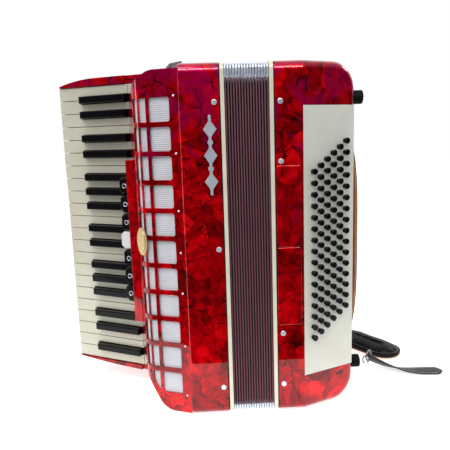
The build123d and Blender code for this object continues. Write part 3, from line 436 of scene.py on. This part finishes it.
looks = {
    "red_pearloid": pearloid(),
    "ivory_plastic": plastic("ivory_look", (0.65, 0.63, 0.51), (0.58, 0.56, 0.44), 0.25),
    "white_plastic": plastic("white_look", (0.80, 0.79, 0.75), (0.74, 0.73, 0.69), 0.25),
    "black_plastic": plastic(
        "black_look", (0.006, 0.006, 0.007), (0.003, 0.003, 0.004), 0.2, coat=0.12, specular=0.15
    ),
    "cream_board": plastic("board_look", (0.78, 0.78, 0.69), (0.71, 0.70, 0.60), 0.4, coat=0.3),
    "cream_wood": plastic("cream_look", (0.86, 0.82, 0.66), (0.76, 0.70, 0.54), 0.35, coat=0.4, scale=40.0),
    "soundboard_wood": wood("board_wood_look", (0.50, 0.35, 0.19), (0.34, 0.21, 0.10)),
    "reed_metal": metal("reed_look", (0.70, 0.71, 0.72), (0.55, 0.56, 0.58), 0.35, scale=(1, 1, 12)),
    "silver_mesh": silver_mesh(),
    "bright_steel": metal(
        "steel_look", (0.36, 0.36, 0.37), (0.20, 0.20, 0.21), 0.3, scale=(1, 12, 1), metallic=0.8
    ),
    # Painted reflection: the trim is only half metallic, with a pale bluish grey colour standing in for the
    # bright room a chrome mirror would reflect.
    "chrome_trim": metal(
        "chrome_painted_reflection_look", (0.84, 0.88, 0.95), (0.66, 0.72, 0.82), 0.20, grain=90.0, metallic=0.45
    ),
    "gold": metal("gold_look", (0.80, 0.62, 0.34), (0.50, 0.34, 0.14), 0.3, metallic=0.6),
    "black_rubber": leather(
        "rubber_look", (0.006, 0.006, 0.006), (0.003, 0.003, 0.003), 0.6, 1500.0, 0.15, specular=0.1
    ),
    "bellows_cloth": bellows_cloth(),
    "strap_leather": leather(
        "strap_look", (0.034, 0.033, 0.034), (0.010, 0.010, 0.011), 0.45, 1100.0, 0.35,
        coat=0.1, specular=0.35,
    ),
    "patent_leather": leather(
        "patent_look", (0.005, 0.005, 0.005), (0.002, 0.002, 0.002), 0.34, 260.0, 0.6, specular=0.16
    ),
}
tan_lining = leather("lining_look", (0.85, 0.48, 0.22), (0.68, 0.36, 0.15), 0.6, 1400.0, 0.3)
thread = leather("thread_look", (0.75, 0.75, 0.73), (0.55, 0.55, 0.54), 0.7, 2500.0, 0.3)

slots = {part["node"]: part["material_slot"] for part in frame["record"]["subparts"]}
for name, piece in nodes.items():
    if not piece.data.materials:
        piece.data.materials.append(None)
    for index in range(len(piece.data.materials)):
        piece.data.materials[index] = looks[slots[name]]


# ---------------------------------------------------------------- mesh helpers
# From here on lengths are in millimetres, and MM turns them into metres.
STITCH_LENGTH = 2.2
CORNER_STEPS = 6


def new_piece(name, points, faces, material, body=None, slot=None):
    """A smooth mesh from points in metres, with the body it rides on where it is given; the slot argument is
    not used.
    """
    mesh = bpy.data.meshes.new(name)
    mesh.from_pydata([tuple(p) for p in points], [], faces)
    mesh.validate()
    mesh.materials.append(material)
    mesh.shade_smooth()
    piece = bpy.data.objects.new(name, mesh)
    bpy.context.scene.collection.objects.link(piece)
    if body:
        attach(piece, body)
    return piece


def skin(rings, caps=False):
    """Points and quads of a surface through closed rings that all have the same number of points."""
    count = len(rings[0])
    points = [point for ring in rings for point in ring]
    faces = []
    for start in range(0, len(points) - count, count):
        for place in range(count):
            after = (place + 1) % count
            faces.append((start + place, start + count + place, start + count + after, start + after))
    if caps:
        faces.append(tuple(range(count - 1, -1, -1)))
        faces.append(tuple(range(len(points) - count, len(points))))
    return points, faces


def joined(parts):
    """One list of points and one of faces from several."""
    points, faces = [], []
    for some_points, some_faces in parts:
        start = len(points)
        points += some_points
        faces += [tuple(index + start for index in face) for face in some_faces]
    return points, faces


def stitch(centre, along, out, width, height):
    """A single stitch: a small lozenge lying along a seam."""
    along = along.normalized()
    out = out.normalized()
    side = along.cross(out).normalized() * (width / 2)
    rise = out * height
    points = [centre - along * STITCH_LENGTH / 2, centre + along * STITCH_LENGTH / 2]
    for part in (-0.28, 0.28):
        middle = centre + along * STITCH_LENGTH * part
        points += [middle + side, middle + rise, middle - side, middle - rise]
    faces = [(2, 3, 7, 6), (3, 4, 8, 7), (4, 5, 9, 8), (5, 2, 6, 9)]
    faces += [(0, 3, 2), (0, 4, 3), (0, 5, 4), (0, 2, 5), (1, 6, 7), (1, 7, 8), (1, 8, 9), (1, 9, 6)]
    return [point * MM for point in points], faces


def seam(line, outs, spacing, width=0.7, height=0.45):
    """Stitches along a line of points, with the way out of the surface at each point."""
    parts = []
    travelled = 0.0
    due = spacing / 2
    for start, end, out in zip(line, line[1:], outs):
        length = (end - start).length
        while due <= travelled + length and length > 0:
            place = start.lerp(end, (due - travelled) / length)
            parts.append(stitch(place, end - start, out, width, height))
            due += spacing
        travelled += length
    return joined(parts)


def circle(centre, side, up, radius, steps):
    """Points round a circle in the plane of side and up."""
    turns = [math.tau * step / steps for step in range(steps)]
    return [centre + (side * math.cos(turn) + up * math.sin(turn)) * radius for turn in turns]


def tube(line, radius, steps=10):
    """A round wire through a line of points."""
    rings = []
    side = None
    for index, point in enumerate(line):
        ahead = (line[min(index + 1, len(line) - 1)] - line[max(index - 1, 0)]).normalized()
        side = ahead.orthogonal() if side is None else side - ahead * side.dot(ahead)
        side.normalize()
        rings.append([place * MM for place in circle(point, side, ahead.cross(side), radius, steps)])
    return skin(rings, caps=True)


def rounded_rectangle(half_y, half_z, radius, middle_z):
    """Points round a rectangle in the YZ plane."""
    points = []
    for corner, (sy, sz) in enumerate(((1, 1), (-1, 1), (-1, -1), (1, -1))):
        for step in range(CORNER_STEPS + 1):
            angle = math.radians(90 * corner + 90 * step / CORNER_STEPS)
            points.append((
                sy * (half_y - radius) + radius * math.cos(angle),
                middle_z + sz * (half_z - radius) + radius * math.sin(angle),
            ))
    return points


# ---------------------------------------------------------------- bellows
FOLDS = 16
BELLOWS_MIDDLE = 235.0
bellows_low, bellows_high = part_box("bellows")
BELLOWS_LEFT = bellows_low[0] / MM
BELLOWS_RIGHT = bellows_high[0] / MM
FOLD_PITCH = (BELLOWS_RIGHT - BELLOWS_LEFT) / FOLDS
HALF_Y = bellows_high[1] / MM
HALF_Z = (bellows_high[2] - bellows_low[2]) / 2 / MM
FOLD_DEPTH = 18.0
CORNER_RADIUS = 8.0
LEAST_RADIUS = 1.5
# How far below a ridge its lighter colour fades into the painted shade of the folds.
RIDGE_FADE = 2.2
# Across half a fold: how far from the ridge, as a part of half the pitch, and how deep below it.
FOLD_PROFILE = (
    (0.0, 0.0), (0.28, 0.12), (0.5, 0.5), (0.68, 1.6), (0.82, 4.5), (0.93, 10.0), (1.0, FOLD_DEPTH),
)
# How deep a clip's two ends sink in, and how far it reaches along the bellows' top or bottom.
CLIP_SINK = 1.6
CLIP_LEVEL_LEG = 16.0
# How far it reaches down the front or rear from the top (1), and up from the bottom (-1).
CLIP_LEGS = ((1, 24.0), (-1, 15.0))
# A clip's section: across the fold, and out from the ridge.
CLIP_SECTION = (
    (-1.50, -3.2), (-1.45, -0.9), (-0.85, 0.25), (0.0, 0.55), (0.85, 0.25), (1.45, -0.9), (1.50, -3.2),
    (1.20, -3.2), (1.10, -1.1), (0.6, -0.05), (0.0, 0.15), (-0.6, -0.05), (-1.10, -1.1), (-1.20, -3.2),
)


def fold_samples():
    """Places along X with the depth below the ridges, from the treble end to the bass end."""
    samples = []
    for fold in range(FOLDS):
        ridge = BELLOWS_LEFT + (fold + 0.5) * FOLD_PITCH
        half = [(ridge - part * FOLD_PITCH / 2, depth) for part, depth in reversed(FOLD_PROFILE)]
        other = [(ridge + part * FOLD_PITCH / 2, depth) for part, depth in FOLD_PROFILE[1:-1]]
        samples += half + other
    samples.append((BELLOWS_RIGHT, FOLD_DEPTH))
    return samples


def add_bellows():
    rings = []
    ridges = []
    for x, depth in fold_samples():
        radius = max(CORNER_RADIUS - depth, LEAST_RADIUS)
        outline = rounded_rectangle(HALF_Y - depth, HALF_Z - depth, radius, BELLOWS_MIDDLE)
        rings.append([Vector((x, y, z)) * MM for y, z in outline])
        ridges += [max(0.0, 1.0 - depth / RIDGE_FADE)] * len(outline)
    points, faces = skin(rings)
    piece = new_piece("bellows_folds", points, faces, looks["bellows_cloth"], slot="bellows_cloth")
    attribute = piece.data.attributes.new("ridge", "FLOAT", "POINT")
    attribute.data.foreach_set("value", ridges)
    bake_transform(piece)
    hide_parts("bellows")


def clip_path(sy, sz, leg):
    """The line that a fold's metal corner follows, as points with the way out, in the YZ plane."""
    centre_y = HALF_Y - CORNER_RADIUS
    centre_z = HALF_Z - CORNER_RADIUS
    places = [(HALF_Y - CLIP_SINK, HALF_Z - leg, 1.0, 0.0), (HALF_Y, HALF_Z - leg * 0.6, 1.0, 0.0)]
    for step in range(9):
        angle = math.radians(90 * step / 8)
        out_y, out_z = math.cos(angle), math.sin(angle)
        places.append((centre_y + CORNER_RADIUS * out_y, centre_z + CORNER_RADIUS * out_z, out_y, out_z))
    places.append((HALF_Y - CLIP_LEVEL_LEG * 0.6, HALF_Z, 0.0, 1.0))
    places.append((HALF_Y - CLIP_LEVEL_LEG, HALF_Z - CLIP_SINK, 0.0, 1.0))
    return [(sy * y, BELLOWS_MIDDLE + sz * z, sy * out_y, sz * out_z) for y, z, out_y, out_z in places]


def add_bellows_corners():
    parts = []
    for fold in range(FOLDS):
        x = BELLOWS_LEFT + (fold + 0.5) * FOLD_PITCH
        for sy in (-1, 1):
            for sz, leg in CLIP_LEGS:
                rings = []
                for y, z, out_y, out_z in clip_path(sy, sz, leg):
                    rings.append([
                        Vector((x + across, y + out_y * out, z + out_z * out)) * MM
                        for across, out in CLIP_SECTION
                    ])
                parts.append(skin(rings, caps=True))
    points, faces = joined(parts)
    piece = new_piece("bellows_corner_clips", points, faces, looks["chrome_trim"], slot="chrome_trim")
    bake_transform(piece)
    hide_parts("bellows_corners")


# ---------------------------------------------------------------- grille mesh
COVER_FRONT = Vector((-25.5, -92.5))
COVER_CORNER = Vector((-85.4, -69.8))
COVER_RADIUS = 22.0
KEY_FOOT = Vector((-101.7, 4.4))
KEY_TILT = math.radians(26.2)
KEY_OUT = Vector((-math.cos(KEY_TILT), math.sin(KEY_TILT)))
KEY_UP = Vector((-math.sin(KEY_TILT), -math.cos(KEY_TILT)))
COVER_END = KEY_FOOT + KEY_OUT * -2.0 + KEY_UP * 2.0
COVER_LEFT = COVER_END.x - 1.0
COVER_BOTTOM, COVER_TOP = 1.0, 464.5
# The slanted ends of the cover: how wide both are, and how tall the lower and the upper one are.
COVER_CUT, COVER_CUT_LOW, COVER_CUT_HIGH = 39.0, 75.0, 21.0
# Steps along the cover's front, round its corner and past it.
LEVEL_STEPS, ROUND_STEPS, END_STEPS = 12, 24, 4
MESH_INSET = 3.4
MESH_FROM_FRONT = 8.0
MESH_PAST_ROUND = 3.0
MESH_MARGIN = 4.0
RIB_PITCH = 2.6
RIB_STEPS = 5
RIB_SWELL = 0.5
RIB_THICKNESS = 0.5
WINDOW_TOP, WINDOW_PITCH, WINDOW_HEIGHT = 430.0, 37.2, 30.6
# The nails: in from the cover's front edge, radius, how far the heads rise and how deep their rims sink.
NAIL_INSET = 6.5
NAIL_RADIUS = 1.5
NAIL_RISE = 0.9
NAIL_SINK = 0.05


def cover_line(inset, first, last):
    """Points along the cover's section in plan, in from its face by inset.

    The line starts at first from the front end and stops at last past the rounded corner.
    """
    to_front = (COVER_FRONT - COVER_CORNER).normalized()
    to_end = (COVER_END - COVER_CORNER).normalized()
    half = to_front.angle(to_end) / 2
    centre = COVER_CORNER + (to_front + to_end).normalized() * (COVER_RADIUS / math.sin(half))
    tangent = COVER_RADIUS / math.tan(half)
    start = COVER_CORNER + to_front * tangent
    end = COVER_CORNER + to_end * tangent
    out_start = (start - centre).normalized()
    out_end = (end - centre).normalized()
    span = (COVER_FRONT - start).length
    points = []
    for step in range(LEVEL_STEPS):
        reach = first + (span - first) * step / LEVEL_STEPS
        along = COVER_FRONT + (start - COVER_FRONT) * (reach / span)
        points.append((along - out_start * inset, out_start))
    sweep = out_start.angle(out_end)
    for step in range(ROUND_STEPS + 1):
        angle = -sweep * step / ROUND_STEPS
        out = Vector((
            out_start.x * math.cos(angle) - out_start.y * math.sin(angle),
            out_start.x * math.sin(angle) + out_start.y * math.cos(angle),
        ))
        points.append((centre + out * (COVER_RADIUS - inset), out))
    for step in range(1, END_STEPS + 1):
        points.append((end + to_end * last * step / END_STEPS - out_end * inset, out_end))
    return points


def add_grille_mesh():
    """Fine level ribs behind the windows, inside the cover's outline with its two slanted ends."""
    line = cover_line(MESH_INSET, MESH_FROM_FRONT, MESH_PAST_ROUND)
    lowest = COVER_BOTTOM + MESH_MARGIN
    highest = COVER_TOP - MESH_MARGIN
    points, faces = [], []
    for row in range(int((COVER_TOP - COVER_BOTTOM) / RIB_PITCH)):
        for step in range(RIB_STEPS + 1):
            z = COVER_BOTTOM + (row + step / RIB_STEPS) * RIB_PITCH
            swell = RIB_SWELL * math.sin(math.pi * step / RIB_STEPS)
            points += [Vector((p.x + out.x * swell, p.y + out.y * swell, z)) * MM for p, out in line]
        for step in range(RIB_STEPS):
            z = COVER_BOTTOM + (row + (step + 0.5) / RIB_STEPS) * RIB_PITCH
            for place, (p, _) in enumerate(line[:-1]):
                away = max(0.0, 1.0 - (p.x - COVER_LEFT) / COVER_CUT)
                if lowest + COVER_CUT_LOW * away < z < highest - COVER_CUT_HIGH * away:
                    first = (row * (RIB_STEPS + 1) + step) * len(line) + place
                    faces.append((first, first + len(line), first + len(line) + 1, first + 1))
    piece = new_piece("grille_ribs", points, faces, looks["silver_mesh"], "treble", "silver_mesh")
    tidy = bmesh.new()
    tidy.from_mesh(piece.data)
    bmesh.ops.remove_doubles(tidy, verts=tidy.verts, dist=0.01 * MM)
    bmesh.ops.delete(tidy, geom=[v for v in tidy.verts if not v.link_faces], context="VERTS")
    tidy.to_mesh(piece.data)
    tidy.free()
    thicken = piece.modifiers.new("thickness", "SOLIDIFY")
    thicken.thickness = RIB_THICKNESS * MM
    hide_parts("grille_mesh")


def under_window(number):
    """The height of the middle of the bar under a window, counted down from the top one as 0."""
    return WINDOW_TOP - number * WINDOW_PITCH - (WINDOW_PITCH + WINDOW_HEIGHT) / 2


def add_grille_nails():
    """Seven small nails with domed heads down the cover's front edge."""
    to_right = (COVER_FRONT - COVER_CORNER).normalized()
    out = Vector((to_right.y, -to_right.x))
    centre = COVER_FRONT - to_right * NAIL_INSET
    heights = (
        WINDOW_TOP + 1.0,
        under_window(1),
        under_window(3),
        WINDOW_TOP - 5 * WINDOW_PITCH - WINDOW_HEIGHT / 2,
        under_window(6),
        under_window(8),
        WINDOW_TOP - 10 * WINDOW_PITCH - WINDOW_HEIGHT - 1.0,
    )
    parts = []
    for z in heights:
        rings = []
        for angle in (0, 25, 50, 72, 88):
            radius = NAIL_RADIUS * math.cos(math.radians(angle))
            foot = centre + out * (NAIL_RISE * math.sin(math.radians(angle)) - NAIL_SINK)
            middle = Vector((foot.x, foot.y, z))
            ring = circle(middle, to_right.to_3d(), Vector((0, 0, 1)), radius, 16)
            rings.append([place * MM for place in ring])
        parts.append(skin(rings, caps=True))
    points, faces = joined(parts)
    new_piece("grille_nails", points, faces, looks["chrome_trim"], "treble", "chrome_trim")


# ---------------------------------------------------------------- hand strap
HAND_Y = (-34.0, 38.0)
HAND_LOW, HAND_HIGH = 68.0, 385.0
HAND_FOOT = 18.0
HAND_RISE = 15.4
HAND_LINING_RISE = 12.0
HAND_STEPS = 48
# Where the leather meets the lining, as a part of the way from the inner face to the outer one.
HAND_SPLIT = 0.55
# The leather's section: across, as a part of the width, and out, as a part of its thickness.
HAND_SECTION = (
    (0.0, 0.0), (0.0, 0.45), (0.012, 0.62), (0.05, 0.70), (0.075, 0.62), (0.10, 0.76), (0.2, 0.93),
    (0.35, 1.0), (0.5, 1.0), (0.65, 1.0), (0.8, 0.93), (0.90, 0.76), (0.925, 0.62), (0.95, 0.70),
    (0.988, 0.62), (1.0, 0.45), (1.0, 0.0),
)
HAND_SEAMS = (0.075, 0.925)
HAND_SEAM_OUT = 0.66
LINING_INSET = 0.4
LINING_FILL = 0.98
END_COVER_X = 205.5


def bow(low, high, rise, part):
    """A point on the strap's bow, which stands on the end cover at low and high, and the way out of it."""
    across = 2 * part - 1
    x = END_COVER_X + rise * (1 - across ** 4)
    z = low + (high - low) * part
    slope = -8 * rise * across ** 3 / (high - low)
    return Vector((x, 0, z)), Vector((1, 0, -slope)).normalized()


def between(start, end, part, y):
    """A point on the way from start to end, set at y."""
    place = start.lerp(end, part)
    return Vector((place.x, y, place.z))


def add_hand_strap():
    near, far = HAND_Y
    lining_section = (
        (near + LINING_INSET, 0.0),
        (near + LINING_INSET, LINING_FILL),
        (far - LINING_INSET, LINING_FILL),
        (far - LINING_INSET, 0.0),
    )
    outer_rings, lining_rings, seam_lines, outs = [], [], [[], []], []
    for step in range(HAND_STEPS + 1):
        part = step / HAND_STEPS
        outside, out = bow(HAND_LOW, HAND_HIGH, HAND_RISE, part)
        inside, _ = bow(HAND_LOW + HAND_FOOT, HAND_HIGH - HAND_FOOT, HAND_LINING_RISE, part)
        middle = inside.lerp(outside, HAND_SPLIT)
        outer_rings.append([
            between(middle, outside, lift, near + (far - near) * across) * MM for across, lift in HAND_SECTION
        ])
        for line, across in zip(seam_lines, HAND_SEAMS):
            line.append(between(middle, outside, HAND_SEAM_OUT, near + (far - near) * across))
        outs.append(out)
        lining_rings.append([between(inside, middle, lift, y) * MM for y, lift in lining_section])
    strap = new_piece("hand_strap_leather", *skin(outer_rings, caps=True), looks["strap_leather"], "bass",
                      "strap_leather")
    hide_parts("bass_hand_strap")
    new_piece("hand_strap_lining", *skin(lining_rings, caps=True), tan_lining, "bass", "strap_leather")
    parts = [seam(line, outs, 3.6) for line in seam_lines]
    new_piece("hand_strap_stitches", *joined(parts), thread, "bass", "strap_leather")


# ---------------------------------------------------------------- shoulder strap on the floor
STRAP_MIDDLE = Vector((263.0, 125.0))
STRAP_ANGLE = math.radians(-53.0)
STRAP_ALONG = Vector((math.cos(STRAP_ANGLE), math.sin(STRAP_ANGLE)))
STRAP_HALF_STRAIGHT = 62.0
STRAP_RADIUS = 28.0
STRAP_END_STEPS = 16
STRAP_SIDE_STEPS = 24
# The pad's and the lining's sections, from the underside: in from the outline, and height.
PAD_SECTION = (
    (27.6, 2.8), (2.0, 2.8), (0.4, 3.6), (0.0, 6.6), (0.2, 9.0), (1.4, 10.4), (3.4, 10.8), (4.2, 9.8),
    (5.0, 10.8), (7.5, 13.6), (12.0, 16.4), (18.0, 18.4), (27.6, 19.2),
)
LINING_SECTION = ((27.6, 1.0), (2.2, 1.0), (1.6, 1.4), (1.6, 2.3), (2.2, 2.7), (27.6, 2.75))


def stadium(inset, z):
    """A ring at a height, in from the strap's outline by inset. The pad's upper half is gently wavy."""
    side = Vector((-STRAP_ALONG.y, STRAP_ALONG.x))
    radius = STRAP_RADIUS - inset
    outline = []
    for end in (1, -1):
        for step in range(STRAP_END_STEPS + 1):
            angle = math.radians(-90 + 180 * step / STRAP_END_STEPS)
            u = end * (STRAP_HALF_STRAIGHT + radius * math.cos(angle))
            outline.append((u, end * radius * math.sin(angle)))
        for step in range(1, STRAP_SIDE_STEPS):
            outline.append((end * STRAP_HALF_STRAIGHT * (1 - 2 * step / STRAP_SIDE_STEPS), end * radius))
    swing = max(0.0, min(1.0, (z - 4.0) / 8.0))
    ring = []
    for u, v in outline:
        wave = 0.9 * math.sin(u * 0.06 + 0.8) + 0.5 * math.sin(u * 0.13 + v * 0.09)
        place = STRAP_MIDDLE + STRAP_ALONG * u + side * v
        ring.append(Vector((place.x, place.y, z + wave * swing)))
    return ring


def add_shoulder_strap():
    rings = [[p * MM for p in stadium(inset, z)] for inset, z in PAD_SECTION]
    pad = new_piece("shoulder_strap_pad", *skin(rings, caps=True), looks["patent_leather"], "bass",
                    "patent_leather")
    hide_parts("shoulder_strap")
    rings = [[p * MM for p in stadium(inset, z)] for inset, z in LINING_SECTION]
    new_piece("shoulder_strap_lining", *skin(rings, caps=True), tan_lining, "bass", "patent_leather")
    line = stadium(4.2, 10.1)
    line.append(line[0])
    outs = [Vector((0, 0, 1))] * len(line)
    new_piece("shoulder_strap_stitches", *seam(line, outs, 3.4), thread, "bass", "patent_leather")


# ---------------------------------------------------------------- thin strap end and its ring
# The middle line from the ring to the tip, each point with the half width and the tilt in degrees.
TAIL_KNOTS = (
    (Vector((262.0, 37.0, 12.0)), 8.0, -62.0),
    (Vector((270.0, 28.0, 10.5)), 8.5, -56.0),
    (Vector((281.0, 18.0, 8.0)), 9.5, -44.0),
    (Vector((296.0, 8.0, 5.5)), 10.5, -26.0),
    (Vector((313.0, 1.5, 3.4)), 11.5, -10.0),
    (Vector((331.0, -2.0, 2.6)), 12.0, -2.0),
    (Vector((347.0, -3.5, 2.5)), 12.0, 0.0),
    (Vector((358.0, -4.0, 2.5)), 12.0, 0.0),
)
TAIL_STEPS = 60
TAIL_HALF_THICK = 1.3
TAIL_SEAM = 0.76
# The section: across, as a part of the half width, and out, as a part of the half thickness.
TAIL_SECTION = (
    (-1, 0), (-0.96, 0.8), (-0.82, 0.95), (-TAIL_SEAM, 0.7), (-0.70, 1.0), (0, 1.15), (0.70, 1.0),
    (TAIL_SEAM, 0.7), (0.82, 0.95), (0.96, 0.8), (1, 0), (0.95, -0.9), (0, -1), (-0.95, -0.9),
)
# The rounded tip: how far past the last knot, and how much of the section is left there.
TAIL_TIP = ((4.0, 0.78), (8.0, 0.40), (9.4, 0.12))
RING_RADIUS, RING_WIRE = 8.2, 1.5
HOOK_SHIFT = Vector((-5.5, -3.0, -5.5))
HOOK_HALF_WIDTH, HOOK_HALF_HEIGHT, HOOK_WIRE = 5.0, 6.5, 1.0
TAB_RING_RADIUS, TAB_RING_WIRE = 3.0, 0.5


def on_curve(a, b, c, d, part):
    """A point between b and c on the smooth curve through four points."""
    return 0.5 * (2 * b + (c - a) * part + (2 * a - 5 * b + 4 * c - d) * part ** 2
                  + (3 * b - a - 3 * c + d) * part ** 3)


def tail_frame(part):
    """The thin strap's middle line, half width and tilt at a part of its length from the ring."""
    last = len(TAIL_KNOTS) - 1
    index = min(int(part * last), last - 1)
    rest = part * last - index
    before = TAIL_KNOTS[max(index - 1, 0)]
    one, two = TAIL_KNOTS[index], TAIL_KNOTS[index + 1]
    after = TAIL_KNOTS[min(index + 2, last)]
    centre = on_curve(before[0], one[0], two[0], after[0], rest)
    width = one[1] + (two[1] - one[1]) * rest
    tilt = one[2] + (two[2] - one[2]) * rest
    return centre, width, math.radians(tilt)


def add_strap_tail():
    rings, lines, outs = [], [[], []], []
    for step in range(TAIL_STEPS + 1):
        part = step / TAIL_STEPS
        centre, width, tilt = tail_frame(part)
        ahead = (tail_frame(min(part + 0.01, 1.0))[0] - tail_frame(max(part - 0.01, 0.0))[0]).normalized()
        level = Vector((-ahead.y, ahead.x, 0)).normalized()
        across = level * math.cos(tilt) + Vector((0, 0, 1)) * math.sin(tilt)
        out = ahead.cross(across)
        if out.z < 0:
            out = -out
        rings.append([
            (centre + across * (w * width) + out * (h * TAIL_HALF_THICK)) * MM for w, h in TAIL_SECTION
        ])
        for line, side in zip(lines, (-TAIL_SEAM, TAIL_SEAM)):
            line.append(centre + across * (side * width) + out * (0.8 * TAIL_HALF_THICK))
        outs.append(out)
    end = tail_frame(1.0)[0]
    last_ring = rings[TAIL_STEPS]
    for reach, left in TAIL_TIP:
        middle = end + Vector((reach, -0.3, 0))
        rings.append([(middle + (point / MM - end) * left) * MM for point in last_ring])
    tail = new_piece("strap_tail_leather", *skin(rings, caps=True), looks["strap_leather"], "bass",
                     "strap_leather")
    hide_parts("strap_tail")
    parts = [seam(line, outs, 3.6, width=0.9, height=0.5) for line in lines]
    new_piece("strap_tail_stitches", *joined(parts), thread, "bass", "strap_leather")


def add_strap_ring():
    low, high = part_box("strap_ring")
    centre = (Vector(low) + Vector(high)) / 2 / MM
    ring = circle(centre, Vector((0.7, 0.7, 0)).normalized(), Vector((0, 0, 1)), RING_RADIUS, 40)
    ring.append(ring[0])
    hook = []
    for step in range(25):
        angle = math.radians(-60 + 300 * step / 24)
        bend = Vector((HOOK_HALF_WIDTH * math.cos(angle), 0, HOOK_HALF_HEIGHT * math.sin(angle)))
        hook.append(centre + HOOK_SHIFT + bend)
    points, faces = joined([tube(ring, RING_WIRE), tube(hook, HOOK_WIRE)])
    piece = new_piece("strap_hook", points, faces, looks["bright_steel"], "bass", "bright_steel")
    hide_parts("strap_ring")


# ---------------------------------------------------------------- register tabs
def add_tab_rings():
    """A small ring let into the face of each black register tab."""
    out = Vector((KEY_UP.x, KEY_UP.y, 0))
    side = Vector((-out.y, out.x, 0))
    bodies = frame["record"]["behaviour"]["bodies"]
    rides = {node: body for body, held in bodies.items() for node in held}
    for number in (1, 2, 3, 5, 6, 7):
        node = f"register_tab_{number}"
        corners = [vertex.co / MM for vertex in nodes[node].data.vertices]
        face = max(corner.dot(out) for corner in corners)
        front = [corner for corner in corners if corner.dot(out) > face - 0.05]
        low = Vector([min(corner[axis] for corner in front) for axis in range(3)])
        high = Vector([max(corner[axis] for corner in front) for axis in range(3)])
        centre = (low + high) / 2 + out * 0.1
        line = circle(centre, side, Vector((0, 0, 1)), TAB_RING_RADIUS, 24)
        line.append(line[0])
        points, faces = tube(line, TAB_RING_WIRE, 8)
        new_piece(f"tab_ring_{number}", points, faces, looks["chrome_trim"], rides[node], "chrome_trim")


add_bellows()
add_bellows_corners()
add_grille_mesh()
add_grille_nails()
add_hand_strap()
add_shoulder_strap()
add_strap_tail()
add_strap_ring()
add_tab_rings()
